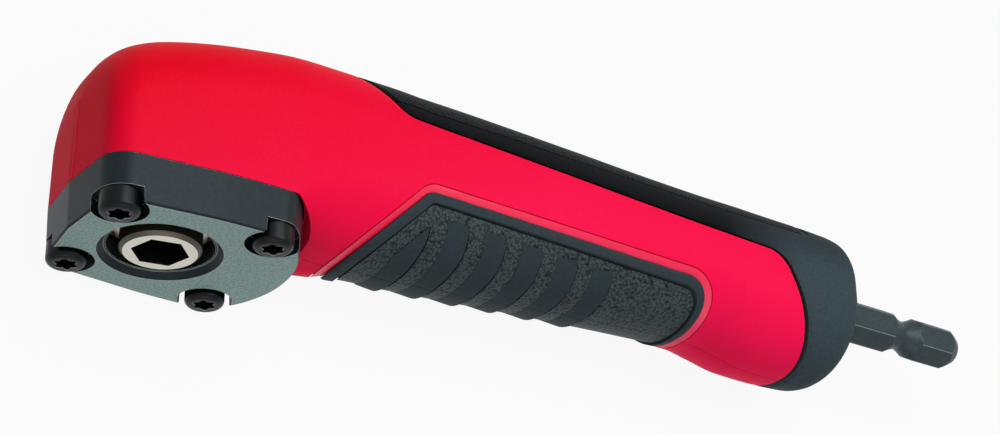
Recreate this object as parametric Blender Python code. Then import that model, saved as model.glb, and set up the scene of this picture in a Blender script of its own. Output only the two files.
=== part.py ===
"""Right angle attachment for a drill or impact driver.

A quarter inch hex shank drives a long shaft through a moulded handle. A pair of
equal bevel gears in a metal gear case turns the drive through 90 degrees, into
a spindle with a quarter inch hex bit socket.

All lengths are in millimetres in the tool's own axes, whose origin is where the
shaft's axis crosses the spindle's:
    X runs along the shaft, towards the hex shank,
    Y runs along the spindle, away from the open socket,
    Z runs across the tool, towards its near flank, and is up: the tool lies on
    its far flank.
An empty moves these axes so that the file's origin is the middle of the shank's
end. The file is in metres, which MM converts to.
"""
import math

import bmesh
import bpy
import numpy as np
from mathutils import Matrix, Vector

MM = 0.001

# Gaps between neighbouring pieces
FIT = 0.1             # seats, joints between pieces and running faces
SEAM = 0.05           # each housing half's edge to the mid-plane
BEYOND = 40.0         # cutting blocks reach this far past the tool
FREE = 0.35           # between turning teeth and the case

# Hex drive, input and output
HEX_FLATS = 6.35      # quarter inch
SOCKET_FLATS = 6.45
SOCKET_MOUTH = 6.75
SOCKET_DEPTH = 9.75
SOCKET_PHASE = math.radians(132.0)
SHANK_PHASE = math.radians(184.5)
SHANK_TIP = 141.0
SHANK_CHAMFER = 2.4
SHANK_END_RADIUS = 2.3
HEX_CORNER = 3.58        # the corners' edges are taken off
GROOVE_CENTRE = 129.65
GROOVE_WIDTH = 6.3
GROOVE_RADIUS = 2.33

# Bevel gears, one to one
TEETH = 15
MODULE = 0.9
FACE_WIDTH = 3.0
PRESSURE_ANGLE = math.radians(20.0)
BACKLASH = 0.18
ADDENDUM = 0.95
DEDENDUM = 1.25
GEAR_WEB = 2.05
SEAT_RADIUS = 3.4
SEAT_FLAT = 2.9
PITCH_RADIUS = TEETH * MODULE / 2
CONE_DISTANCE = PITCH_RADIUS * math.sqrt(2)
TOE = 1 - FACE_WIDTH / CONE_DISTANCE
HALF_SQRT = math.sqrt(0.5)
TIP_RADIUS = PITCH_RADIUS + ADDENDUM * MODULE * HALF_SQRT
HEEL_ROOT_RADIUS = PITCH_RADIUS - DEDENDUM * MODULE * HALF_SQRT
HEEL_ROOT_DEPTH = PITCH_RADIUS + DEDENDUM * MODULE * HALF_SQRT
TOE_TIP_DEPTH = TOE * (PITCH_RADIUS - ADDENDUM * MODULE * HALF_SQRT)
GEAR_BACK = HEEL_ROOT_DEPTH + GEAR_WEB
GEAR_FRONT = TOE * HEEL_ROOT_DEPTH + 0.1

# Output spindle, measured down from the crossing of the axes
OUTPUT_FACE = 19.96
PLATE_TOP = 13.3
PLATE_LIP = 2.9
OUTPUT_BORE = 10.0
OUTPUT_OUTER = 19.0
OUTPUT_WIDTH = 5.0
NOSE_RADIUS = 5.45
NOSE_FACE_RADIUS = 4.9
NECK_RADIUS = 2.6
BUSH_WALL = 1.0
UPPER_BUSH_LENGTH = 1.9
UPPER_BUSH_START = 4.8
MAGNET_RADIUS = 1.9
MAGNET_LENGTH = 1.3
OUTPUT_BOTTOM = OUTPUT_FACE - PLATE_LIP - FIT
OUTPUT_TOP = OUTPUT_BOTTOM - OUTPUT_WIDTH
SPINDLE_TOP = UPPER_BUSH_START + UPPER_BUSH_LENGTH

# Input shaft
INPUT_BORE = 8.0
INPUT_OUTER = 16.0
INPUT_WIDTH = 5.0
SHIM = 0.4
SHAFT_RADIUS = 3.4
CLIP = 0.9
REAR_JOURNAL = 3.85
REAR_BUSH_START = 98.0
REAR_BUSH_LENGTH = 8.0
REAR_BUSH_WALL = 1.6
REAR_FLANGE = 1.2
SHANK_HOLE_RADIUS = REAR_JOURNAL + 0.7
SHAFT_FRONT = SEAT_RADIUS + 0.9
INPUT_FRONT = GEAR_BACK + SHIM + 2 * FIT
INPUT_BACK = INPUT_FRONT + INPUT_WIDTH

# Housing, outside
NOSE_X = -13.3
CAP_END = 112.0
HEAD_HALF_WIDTH = 13.05
HEAD_REAR = 13.1
REAR_ARC = 18.05
REAR_CORNER = 3.0
REAR_ARC_X = 0.3
NOSE_ROUND = 6.0
SHOULDER_SET = 0.95
SHOULDER_DROP = 1.65
SHOULDER_ROUND = 4.0
FLANK_BEND = 16.3
FLANK_TAPER = 0.13
FLANK_ROUND = 40.0
NECK_END = 30.0
HEAD_WALL = 1.5
SKIRT_WALL = 0.85
HANDLE_WALL = 2.7
SKIRT_TOP = 8.3
COLLAR_FLARE = 0.9
COLLAR_WALL = 1.5
COLLAR_DEPTH = 2.4
HOUSING_EDGE = PLATE_TOP - FIT

# Rubber
GRIP_DEPTH = 1.3
RIB_COUNT = 6
RIB_PITCH = 6.35
RIB_WIDTH = 3.25
RIB_FIRST = 34.55
RIB_HEIGHT = 0.55
RIB_TOP = -9.15
FIRST_RIB_SET = 3.7        # from the pad's slanting front edge
BORDER = 1.4
FIELD_DROP = 0.35

# Gear case
CASE_WALL = 1.35
CASE_GAP = 0.2
SNOUT_END = 18.0
FLANGE_TOP = 8.6

# Cover plate screws, M3 cap screws
SCREW_RADIUS = 1.45
SCREW_HEAD_RADIUS = 2.72
SCREW_HEAD = 2.9
SCREW_PROUD = 0.8
SCREW_LENGTH = 8.0
POCKET_RADIUS = 3.75
FRONT_SCREW_SET = 3.77      # behind the nose
REAR_SCREW_SET = 1.79       # ahead of the plate's rear corners
FRONT_SCREW_INSET = 4.71    # inside the flanks
REAR_SCREW_INSET = 3.14
FRONT_SCREW_X = NOSE_X + FRONT_SCREW_SET
REAR_SCREW_X = HEAD_REAR - REAR_SCREW_SET
COVER_SCREWS = {
    "cover_screw_front_near": (FRONT_SCREW_X, HEAD_HALF_WIDTH - FRONT_SCREW_INSET),
    "cover_screw_front_far": (FRONT_SCREW_X, FRONT_SCREW_INSET - HEAD_HALF_WIDTH),
    "cover_screw_rear_near": (REAR_SCREW_X, HEAD_HALF_WIDTH - REAR_SCREW_INSET),
    "cover_screw_rear_far": (REAR_SCREW_X, REAR_SCREW_INSET - HEAD_HALF_WIDTH),
}

# Housing screws, from the far flank
SHELL_SCREWS = {
    "housing_screw_head": (22.6, 6.4),
    "housing_screw_neck": (25.0, -9.0),
    "housing_screw_rear": (92.3, -7.2),
}
BOSS_RADIUS = 3.0
SHELL_SEAT = 5.7
SHELL_HEAD_RADIUS = 2.5
SHELL_HEAD = 1.9
SHELL_SCREW_RADIUS = 1.4
SHELL_SCREW_REACH = 5.6

# Stations of the housing's loft: x, top, belly, half width, crown and keel radius.
# Up to the rear of the head the half width follows the cover plate's outline.
STATIONS = (
    (NOSE_X, -1.65, 15.4, HEAD_HALF_WIDTH, 5.9, 0.8),
    (-12.4, 2.35, 15.4, HEAD_HALF_WIDTH, 7.9, 0.8),
    (-10.4, 5.4, 15.4, HEAD_HALF_WIDTH, 10.5, 0.8),
    (-7.8, 7.35, 15.4, HEAD_HALF_WIDTH, 10.9, 0.8),
    (-4.8, 8.75, 15.4, HEAD_HALF_WIDTH, 11.3, 0.8),
    (0.0, 10.0, 15.4, HEAD_HALF_WIDTH, 11.4, 0.8),
    (6.0, 11.0, 15.4, HEAD_HALF_WIDTH, 11.1, 0.8),
    (HEAD_REAR, 12.0, 15.4, HEAD_HALF_WIDTH, 10.9, 3.5),
    (17.0, 12.3, 15.25, 12.75, 10.6, 6.5),
    (21.0, 12.45, 15.4, 12.4, 10.4, 9.0),
    (26.0, 12.8, 15.45, 12.15, 10.8, 10.8),
    (33.0, 13.1, 15.35, 12.0, 11.4, 11.8),
    (40.0, 13.05, 14.95, 11.9, 12.0, 12.0),
    (60.0, 12.5, 13.45, 11.7, 12.0, 12.0),
    (78.0, 11.9, 12.4, 11.5, 12.0, 12.0),
    (86.5, 11.75, 12.05, 11.5, 12.0, 12.0),
    (91.5, 11.75, 12.9, 11.55, 12.0, 12.0),
    (96.5, 11.65, 13.85, 11.6, 12.0, 12.0),
    (102.0, 11.6, 14.0, 11.6, 12.0, 12.0),
    (108.5, 11.45, 13.75, 11.45, 12.0, 12.0),
    (110.7, 11.25, 13.15, 11.2, 12.0, 12.0),
    (111.6, 10.85, 12.5, 10.8, 12.0, 12.0),
    (CAP_END, 10.2, 11.7, 10.0, 12.0, 12.0),
)

# Corners of the outlines seen from the side: x, y, rounding radius
STRIP_CORNERS = ((17.8, 17.0, 0), (30.3, 4.4, 4.0), (96.6, 1.25, 5.0), (105.3, -16.5, 0),
                 (CAP_END + 5, -16.5, 0), (CAP_END + 5, 17.0, 0))
PAD_CORNERS = ((21.9, -19.5, 0), (34.25, -6.15, 2.5), (84.1, -6.35, 4.6), (84.5, -19.5, 0))
RIB_CURVE = ((0.0, 0.0), (-1.2, 0.5), (-2.5, 0.75), (-3.6, 0.85), (-5.0, 0.65), (-8.5, 0.2))

MATERIALS = {
    "red_nylon": ((0.78, 0.012, 0.03), 0.48, 0.0),
    "rubber": ((0.022, 0.03, 0.034), 0.7, 0.0),
    "plate_steel": ((0.16, 0.21, 0.2), 0.45, 0.8),
    "black_oxide": ((0.012, 0.013, 0.014), 0.4, 0.7),
    "bright_steel": ((0.72, 0.7, 0.66), 0.25, 1.0),
    "dark_steel": ((0.09, 0.11, 0.12), 0.32, 0.9),
    "die_cast": ((0.42, 0.43, 0.44), 0.5, 0.9),
    "bronze": ((0.55, 0.36, 0.16), 0.45, 1.0),
    "magnet": ((0.5, 0.5, 0.48), 0.3, 1.0),
}


def clear_scene():
    for thing in list(bpy.data.objects):
        bpy.data.objects.remove(thing)


def make_material(name):
    colour, roughness, metallic = MATERIALS[name]
    material = bpy.data.materials.get(name)
    if material is None:
        material = bpy.data.materials.new(name)
        material.use_nodes = True
        shader = material.node_tree.nodes["Principled BSDF"]
        shader.inputs["Base Color"].default_value = (*colour, 1.0)
        shader.inputs["Roughness"].default_value = roughness
        shader.inputs["Metallic"].default_value = metallic
        material.diffuse_color = (*colour, 1.0)
    return material


def mesh_object(name, points, faces, material):
    """A closed mesh from points in millimetres, its faces turned outwards."""
    mesh = bpy.data.meshes.new(name)
    mesh.from_pydata([[MM * value for value in point] for point in points], [], faces)
    work = bmesh.new()
    work.from_mesh(mesh)
    bmesh.ops.recalc_face_normals(work, faces=work.faces)
    work.to_mesh(mesh)
    work.free()
    thing = bpy.data.objects.new(name, mesh)
    bpy.context.scene.collection.objects.link(thing)
    thing.data.materials.append(make_material(material))
    return thing


def lofted(name, rings, material, closed=False):
    """Skin rings of equal length. An open skin gets a flat cap on each end."""
    count = len(rings[0])
    points = [point for ring in rings for point in ring]
    faces = []
    last = len(rings) if closed else len(rings) - 1
    for row in range(last):
        below = row * count
        above = (row + 1) % len(rings) * count
        for k in range(count):
            step = (k + 1) % count
            faces.append((below + k, below + step, above + step, above + k))
    if not closed:
        faces.append(tuple(range(count)))
        faces.append(tuple(range((len(rings) - 1) * count, len(rings) * count)))
    return mesh_object(name, points, faces, material)


def circle(radius):
    return lambda angle: radius


def hexagon(flats, limit=1000.0):
    """Radius of a hexagon with a corner at angle 0, no more than limit."""
    sector = math.pi / 3

    def radius(angle):
        turned_by = angle % sector - sector / 2
        return min(flats / 2 / math.cos(turned_by), limit)
    return radius


def double_flat(radius, flat):
    """A circle with two opposite flats."""
    def reach(angle):
        side = abs(math.cos(angle))
        return radius if side * radius <= flat else flat / side
    return reach


def axis_point(axis, along, radius, angle, centre=(0.0, 0.0)):
    """A point round the X, Y or Z axis; centre moves that axis sideways."""
    u = centre[0] + radius * math.cos(angle)
    v = centre[1] + radius * math.sin(angle)
    return {"x": (along, u, v), "y": (u, along, v), "z": (u, v, along)}[axis]


def turned(name, axis, profile, material, segments=20, phase=0.0, centre=(0.0, 0.0), hollow=False):
    """Turn a profile of (along, radius) round an axis; a radius may be a shape."""
    rings = []
    for along, radius in profile:
        shape = radius if callable(radius) else circle(radius)
        rings.append([axis_point(axis, along, shape(math.tau * k / segments),
                                 math.tau * k / segments + phase, centre)
                      for k in range(segments)])
    return lofted(name, rings, material, closed=hollow)


def split_ring(name, axis, inner, outer, low, high, opening, material, segments=16):
    """A spring ring: a flat ring with a gap in it."""
    rings = []
    for k in range(segments + 1):
        angle = opening / 2 + (math.tau - opening) * k / segments
        rings.append([axis_point(axis, along, radius, angle)
                      for along, radius in ((low, inner), (low, outer), (high, outer), (high, inner))])
    return lofted(name, rings, material)


def boolean(target, operation, tool):
    """Cut, join or trim target with tool, apply it and delete the tool."""
    modifier = target.modifiers.new("cut", "BOOLEAN")
    modifier.operation = operation
    modifier.solver = "EXACT"
    modifier.object = tool
    graph = bpy.context.evaluated_depsgraph_get()
    mesh = bpy.data.meshes.new_from_object(target.evaluated_get(graph))
    target.modifiers.remove(modifier)
    old = target.data
    target.data = mesh
    mesh.name = target.name
    bpy.data.meshes.remove(old)
    bpy.data.objects.remove(tool)
    return target


def cut(target, *tools):
    for tool in tools:
        boolean(target, "DIFFERENCE", tool)
    return target


def join(target, *tools):
    for tool in tools:
        boolean(target, "UNION", tool)
    return target


def trim(target, tool):
    return boolean(target, "INTERSECT", tool)


def smooth(thing, angle=32.0):
    thing.data.shade_smooth()
    thing.data.set_sharp_from_angle(angle=math.radians(angle))


def box(name, low, high, material):
    corners = [(x, y, z) for x in (low[0], high[0]) for y in (low[1], high[1]) for z in (low[2], high[2])]
    faces = ((0, 1, 3, 2), (4, 6, 7, 5), (0, 4, 5, 1), (2, 3, 7, 6), (0, 2, 6, 4), (1, 5, 7, 3))
    return mesh_object(name, corners, faces, material)


def rounded_outline(corners, steps=5):
    """A closed outline from corners (u, v, radius), each with its rounding arc."""
    points = []
    count = len(corners)
    for k, (u, v, radius) in enumerate(corners):
        here = Vector((u, v))
        if radius == 0:
            points.append(here)
            continue
        before = (Vector(corners[k - 1][:2]) - here).normalized()
        after = (Vector(corners[(k + 1) % count][:2]) - here).normalized()
        half = before.angle(after) / 2
        reach = radius / math.tan(half)
        centre = here + (before + after).normalized() * radius / math.sin(half)
        start = here + before * reach - centre
        turn = math.pi - 2 * half
        if start.cross(here + after * reach - centre) < 0:
            turn = -turn
        for step in range(steps + 1):
            arm = Matrix.Rotation(turn * step / steps, 2) @ start
            points.append(centre + arm)
    return points


def offset_corners(corners, grow):
    """Move every side of an outline outwards by grow."""
    count = len(corners)
    area = sum(corners[k - 1][0] * corners[k][1] - corners[k][0] * corners[k - 1][1] for k in range(count))
    spin = 1 if area > 0 else -1
    moved = []
    for k, (u, v, radius) in enumerate(corners):
        here = Vector((u, v))
        came = (here - Vector(corners[k - 1][:2])).normalized()
        goes = (Vector(corners[(k + 1) % count][:2]) - here).normalized()
        first = spin * Vector((came.y, -came.x))
        second = spin * Vector((goes.y, -goes.x))
        shift = grow * (first + second) / (1 + first.dot(second))
        bend = 1 if spin * came.cross(goes) > 0 else -1
        rounding = max(radius + bend * grow, 0.2) if radius else 0
        moved.append((u + shift.x, v + shift.y, rounding))
    return moved


def side_prism(name, outline, low, high, material):
    """An outline seen from the side, in X and Y, carried across the tool."""
    rings = [[(u, v, z) for u, v in outline] for z in (low, high)]
    return lofted(name, rings, material)


def plan_prism(name, outline, low, high, material):
    """An outline seen along the spindle, in X and Z, carried along Y."""
    rings = [[(u, y, v) for u, v in outline] for y in (low, high)]
    return lofted(name, rings, material)


def plate_outline(grow=0.0, steps=3, corner=REAR_CORNER):
    """The cover plate seen along the spindle, near side first."""
    centre = Vector((REAR_ARC_X, 0.0))
    radius = REAR_ARC + grow
    half = HEAD_HALF_WIDTH + grow
    swing = math.asin(half / radius)
    rear_x = REAR_ARC_X + radius * math.cos(swing)
    shoulder_x = NOSE_X + SHOULDER_SET - grow
    shoulder = half - SHOULDER_DROP
    bend_x = NOSE_X + FLANK_BEND
    bend = half - FLANK_TAPER
    rounding = corner + grow if corner else 0
    near = ((NOSE_X - grow, 0.0, NOSE_ROUND), (shoulder_x, shoulder, SHOULDER_ROUND + grow),
            (bend_x, bend, FLANK_ROUND), (rear_x, half, rounding))
    arc = [centre + radius * Vector((math.cos(a), math.sin(a)))
           for a in np.linspace(swing, -swing, 13)[1:-1]]
    rear = tuple((point.x, point.y, 0) for point in arc)
    far = ((rear_x, -half, rounding), (bend_x, -bend, FLANK_ROUND),
           (shoulder_x, -shoulder, SHOULDER_ROUND + grow))
    return rounded_outline(near + rear + far, steps)


def head_half_width(x):
    """Half width of the head at x, from the plate's outline with sharp rear corners."""
    outline = plate_outline(corner=0.0)
    near = [(point.x, point.y) for point in outline if point.y >= 0 and point.x < HEAD_REAR]
    near.sort()
    xs, zs = zip(*near)
    return float(np.interp(x, xs, zs))


def station_slopes(table):
    """Slopes that keep each column of the table free of overshoot."""
    steps = np.diff(table[:, 0])[:, None]
    secants = np.diff(table[:, 1:], axis=0) / steps
    slopes = np.zeros_like(table[:, 1:])
    both = secants[:-1] * secants[1:]
    mean = 2 * both / np.where(secants[:-1] + secants[1:] == 0, 1, secants[:-1] + secants[1:])
    slopes[1:-1] = np.where(both > 0, mean, 0)
    slopes[0], slopes[-1] = secants[0], secants[-1]
    return slopes


TABLE = np.array(STATIONS)
SLOPES = station_slopes(TABLE)


def housing_profile(x):
    """Top, belly, half width, crown and keel radius of the housing at x."""
    row = int(np.clip(np.searchsorted(TABLE[:, 0], x) - 1, 0, len(TABLE) - 2))
    width = TABLE[row + 1, 0] - TABLE[row, 0]
    t = min(max((x - TABLE[row, 0]) / width, 0.0), 1.0)
    start, end = TABLE[row, 1:], TABLE[row + 1, 1:]
    value = (start * (1 + 2 * t) * (1 - t) ** 2 + SLOPES[row] * width * t * (1 - t) ** 2
             + end * (3 - 2 * t) * t ** 2 - SLOPES[row + 1] * width * (1 - t) * t ** 2)
    top, belly, half, crown, keel = value
    if x < HEAD_REAR:
        half = head_half_width(x)
    return top, belly, half, min(crown, half), min(keel, half)


def housing_ring(x, inset=0.0, quarter=4):
    """One section of the housing, its surface moved in by inset."""
    span = CAP_END - NOSE_X
    shrink = max(inset, 0.0)
    here = NOSE_X + shrink + (x - NOSE_X) * (span - 2 * shrink) / span
    top, belly, half, crown, keel = housing_profile(x)
    top, belly = top - inset, belly - inset
    half = max(half - inset, 0.8)
    crown = min(max(crown - inset, 0.3), half - 0.4)
    keel = min(max(keel - inset, 0.3), half - 0.4)
    ring = []
    for sign_z, sign_y in ((1, 1), (-1, 1), (-1, -1), (1, -1)):
        radius, height = (crown, top) if sign_y > 0 else (keel, belly)
        angles = np.linspace(0, math.pi / 2, quarter + 1)
        if sign_z != sign_y:
            angles = angles[::-1]
        for angle in angles:
            z = half - radius + radius * math.cos(angle)
            y = height - radius + radius * math.sin(angle)
            ring.append((here, sign_y * y, sign_z * z))
        if sign_z == sign_y:
            ring.append((here, sign_y * height, 0.0))
        else:
            ring.append((here, 0.5 * (top - belly), sign_z * half))
    return ring


def housing_stations(start, end, fine):
    """Places of the loft's rings, close together at the nose and at the cap's rim."""
    places = [NOSE_X + 0.06, NOSE_X + 0.3, -12.5, -12.0, -11.2, -10.2, -8.8, -7.0,
              -4.8, -2.0, 2.0, 8.0]
    places += list(np.linspace(HEAD_REAR, NECK_END, 6))
    places += list(np.linspace(NECK_END, 86.5, 6)[1:-1])
    places += [86.5, 90.0, 94.0, 98.0, 103.0, 108.5, 110.6, CAP_END]
    if not fine:
        places = places[::2] + [places[-1]]
    inside = [x for x in places if start < x < end]
    return [start] + inside + [end]


def housing_loft(name, inset, material, start=NOSE_X + 0.06, end=CAP_END, fine=True):
    """The housing's outer form as a solid; inset is a length or a rule of x."""
    depth = inset if callable(inset) else (lambda x: inset)
    rings = [housing_ring(x, depth(x), 4 if fine else 3) for x in housing_stations(start, end, fine)]
    return lofted(name, rings, material)


def cavity_wall(x):
    """Wall thickness: thin round the gear case, thicker along the handle."""
    blend = min(max((x - 19.0) / 7.0, 0.0), 1.0)
    return HEAD_WALL + (HANDLE_WALL - HEAD_WALL) * blend


def half_space(name, side):
    """A block that holds the near (1) or far (-1) half of the tool."""
    low, high = (SEAM, BEYOND) if side > 0 else (-BEYOND, -SEAM)
    return box(name, (-BEYOND, -BEYOND, low), (SHANK_TIP + BEYOND, BEYOND, high), "red_nylon")


def strip_region(name, grow=0.0):
    """The back strip and end cap seen from the side, as a block."""
    outline = rounded_outline(offset_corners(STRIP_CORNERS, grow))
    return side_prism(name, outline, -BEYOND, BEYOND, "rubber")


def pad_region(name, grow=0.0):
    """The grip pad seen from the side, as a block."""
    outline = rounded_outline(offset_corners(PAD_CORNERS, grow))
    return side_prism(name, outline, -BEYOND, BEYOND, "rubber")


def rib_region(name, index):
    """One slightly bowed grip rib seen from the side, as a block."""
    right = RIB_FIRST + RIB_PITCH * index
    rear = [(right + shift, RIB_TOP + drop) for drop, shift in RIB_CURVE]
    front = [(x - RIB_WIDTH, y) for x, y in reversed(rear)]
    return side_prism(name, rear + front, -BEYOND, BEYOND, "rubber")


def rear_core():
    """Bores for the rear bush and the shaft, in the closed end of the housing."""
    bush_end = REAR_BUSH_START + REAR_BUSH_LENGTH + FIT
    bush_radius = REAR_JOURNAL + FIT + REAR_BUSH_WALL + FIT
    flange_end = REAR_BUSH_START + REAR_FLANGE + FIT
    profile = ((REAR_BUSH_START - 4.0, bush_radius + 1.2), (flange_end, bush_radius + 1.2),
               (flange_end, bush_radius), (bush_end, bush_radius),
               (bush_end, REAR_JOURNAL + 0.35), (CAP_END + 4.0, REAR_JOURNAL + 0.35))
    return turned("rear_core", "x", profile, "red_nylon", 20)


def make_housing_half(name, side):
    shell = housing_loft(name, 0.0, "red_nylon")
    for region, core_name in ((strip_region("strip_cut", FIT), "strip_core"),
                              (pad_region("pad_cut", FIT), "pad_core")):
        core = housing_loft(core_name, GRIP_DEPTH + FIT, "red_nylon")
        cut(shell, cut(region, core))
    cavity = housing_loft("cavity", cavity_wall, "red_nylon", end=REAR_BUSH_START, fine=False)
    inner = REAR_ARC - SKIRT_WALL
    outer = REAR_ARC + COLLAR_FLARE + 2 * COLLAR_WALL
    roof = -HOUSING_EDGE + COLLAR_WALL
    cut(cavity, turned("collar_wall", "y", ((roof, inner), (roof, outer), (-BEYOND, outer), (-BEYOND, inner)),
                       "red_nylon", 48, centre=(REAR_ARC_X, 0.0), hollow=True))
    cut(shell, cavity)
    skirt = housing_loft("skirt", SKIRT_WALL, "red_nylon", end=HEAD_REAR + 7.0, fine=False)
    trim(skirt, plan_prism("skirt_slab", plate_outline(-SKIRT_WALL), -HOUSING_EDGE - 1, -SKIRT_TOP, "red_nylon"))
    cut(shell, skirt)
    boss_trim = housing_loft("boss_trim", GRIP_DEPTH + FIT + 0.2, "red_nylon", fine=False)
    for x, y in SHELL_SCREWS.values():
        boss = turned("boss", "z", ((-13.0, BOSS_RADIUS), (13.0, BOSS_RADIUS)), "red_nylon", 14,
                      centre=(x, y))
        limit = boss_trim.copy()
        limit.data = boss_trim.data.copy()
        bpy.context.scene.collection.objects.link(limit)
        join(shell, trim(boss, limit))
    bpy.data.objects.remove(boss_trim)
    cut(shell, rear_core())
    cut(shell, plan_prism("plate_room", plate_outline(FIT + 0.1), -30.0, -HOUSING_EDGE, "red_nylon"))
    collar = turned("collar", "y", ((-HOUSING_EDGE, 10.0), (-HOUSING_EDGE, REAR_ARC + FIT + 0.2),
                                    (-HOUSING_EDGE - COLLAR_DEPTH, REAR_ARC + COLLAR_FLARE + 0.5),
                                    (-HOUSING_EDGE - COLLAR_DEPTH, 10.0)),
                    "red_nylon", 48, centre=(REAR_ARC_X, 0.0), hollow=True)
    trim(collar, box("collar_trim", (5.0, -20.0, -20.0), (25.0, -10.0, 20.0), "red_nylon"))
    cut(shell, collar)
    trim(shell, half_space("half", side))
    for x, y in SHELL_SCREWS.values():
        if side < 0:
            bore = ((-20.0, SHELL_HEAD_RADIUS + FIT + 0.1), (-SHELL_SEAT - FIT, SHELL_HEAD_RADIUS + FIT + 0.1),
                    (-SHELL_SEAT - FIT, SHELL_SCREW_RADIUS + FIT), (1.0, SHELL_SCREW_RADIUS + FIT))
        else:
            bore = ((-1.0, SHELL_SCREW_RADIUS + FIT), (SHELL_SCREW_REACH + 0.4, SHELL_SCREW_RADIUS + FIT))
        cut(shell, turned("screw_bore", "z", bore, "red_nylon", 14, centre=(x, y)))
    smooth(shell)
    return shell


def make_back_grip(name, side):
    """Rubber over the back and the shank end of one housing half."""
    grip = trim(housing_loft(name, 0.0, "rubber"), strip_region("strip"))
    cut(grip, housing_loft("core", GRIP_DEPTH, "rubber"))
    hole = ((REAR_BUSH_START, SHANK_HOLE_RADIUS), (CAP_END + BEYOND, SHANK_HOLE_RADIUS))
    cut(grip, turned("shank_hole", "x", hole, "rubber", 20))
    trim(grip, half_space("half", side))
    smooth(grip)
    return grip


def make_grip_pad(name, side):
    """Ribbed rubber pad under one housing half, with a raised border and six ribs."""
    pad = trim(housing_loft(name, 0.0, "rubber"), pad_region("pad"))
    field = cut(pad_region("field", -BORDER), housing_loft("field_core", FIELD_DROP, "rubber"))
    cut(pad, field)
    for index in range(RIB_COUNT):
        rib = housing_loft("rib", -RIB_HEIGHT + FIELD_DROP, "rubber")
        trim(rib, rib_region("rib_block", index))
        join(pad, trim(rib, pad_region("rib_limit", -BORDER - 0.3 if index else -FIRST_RIB_SET)))
    cut(pad, housing_loft("core", GRIP_DEPTH, "rubber"))
    trim(pad, half_space("half", side))
    smooth(pad)
    return pad


def make_cover_plate():
    """Steel plate that closes the gear case and holds the spindle's bearing."""
    edge = 0.3
    rings = []
    for y, grow in ((-PLATE_TOP, 0.0), (-OUTPUT_FACE + edge, -0.25), (-OUTPUT_FACE, -0.25 - edge)):
        rings.append([(u, y, v) for u, v in plate_outline(grow)])
    plate = lofted("cover_plate", rings, "plate_steel")
    bearing_radius = OUTPUT_OUTER / 2 + FIT
    window = OUTPUT_OUTER / 2 - 2.4
    bore = ((0.0, bearing_radius), (-OUTPUT_BOTTOM - FIT, bearing_radius), (-OUTPUT_BOTTOM - FIT, window),
            (-OUTPUT_FACE + 0.9, window), (-OUTPUT_FACE + 0.9, window + 0.3),
            (-OUTPUT_FACE - 0.3, window + 1.5))
    cut(plate, turned("bore", "y", bore, "plate_steel", 24))
    seat = OUTPUT_FACE + SCREW_PROUD - SCREW_HEAD - FIT
    for x, z in COVER_SCREWS.values():
        hole = ((-5.0, SCREW_RADIUS + FIT), (-seat, SCREW_RADIUS + FIT), (-seat, POCKET_RADIUS),
                (-30.0, POCKET_RADIUS))
        cut(plate, turned("pocket", "y", hole, "plate_steel", 16, centre=(x, z)))
    smooth(plate)
    return plate


def make_gear_case():
    """Die-cast case: flange, barrel over the spindle and snout round the shaft."""
    flange = plan_prism("gear_case", plate_outline(-1.2), -HOUSING_EDGE, -FLANGE_TOP, "die_cast")
    trim(flange, housing_loft("flange_trim", SKIRT_WALL + CASE_GAP, "die_cast", end=30.0, fine=False))
    cavity_radius = TIP_RADIUS + FREE
    barrel = turned("barrel", "y", ((-HOUSING_EDGE + 1.0, cavity_radius + CASE_WALL), (12.0, cavity_radius + CASE_WALL)),
                    "die_cast", 20)
    snout_radius = INPUT_OUTER / 2 + FIT + CASE_WALL
    snout = turned("snout", "x", ((0.5, snout_radius), (SNOUT_END, snout_radius)), "die_cast", 20)
    join(barrel, snout)
    trim(barrel, housing_loft("case_trim", HEAD_WALL + CASE_GAP, "die_cast", end=30.0, fine=False))
    case = join(flange, barrel)
    bearing_radius = OUTPUT_OUTER / 2 + FIT
    low = OUTPUT_TOP - FIT
    gear_room = ((-HOUSING_EDGE - 2.0, bearing_radius), (-low, bearing_radius), (-low, cavity_radius),
                 (-TOE_TIP_DEPTH + FREE, cavity_radius))
    cut(case, turned("gear_room", "y", gear_room, "die_cast", 20))
    throat = TOE * PITCH_RADIUS + ADDENDUM * MODULE * TOE * HALF_SQRT + FREE
    cut(case, turned("throat", "y", ((-8.0, throat), (UPPER_BUSH_START - FIT, throat)), "die_cast", 20))
    front = INPUT_FRONT - FIT
    outer = INPUT_OUTER / 2 + FIT
    groove = INPUT_BACK + FIT
    pinion_room = ((TOE_TIP_DEPTH - FREE, cavity_radius), (front, cavity_radius), (front, outer),
                   (groove, outer), (groove, outer + 0.6), (groove + CLIP + 2 * FIT, outer + 0.6),
                   (groove + CLIP + 2 * FIT, outer), (SNOUT_END + 2.0, outer))
    cut(case, turned("pinion_room", "x", pinion_room, "die_cast", 20))
    bush_radius = NECK_RADIUS + FIT + BUSH_WALL + FIT
    cut(case, turned("bush_bore", "y", ((0.0, bush_radius), (SPINDLE_TOP + 2 * FIT, bush_radius)),
                     "die_cast", 20))
    for x, z in COVER_SCREWS.values():
        hole = ((-30.0, SCREW_RADIUS + FIT), (-FLANGE_TOP - 0.5, SCREW_RADIUS + FIT))
        cut(case, turned("screw_hole", "y", hole, "die_cast", 12, centre=(x, z)))
    smooth(case)
    return case


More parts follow.
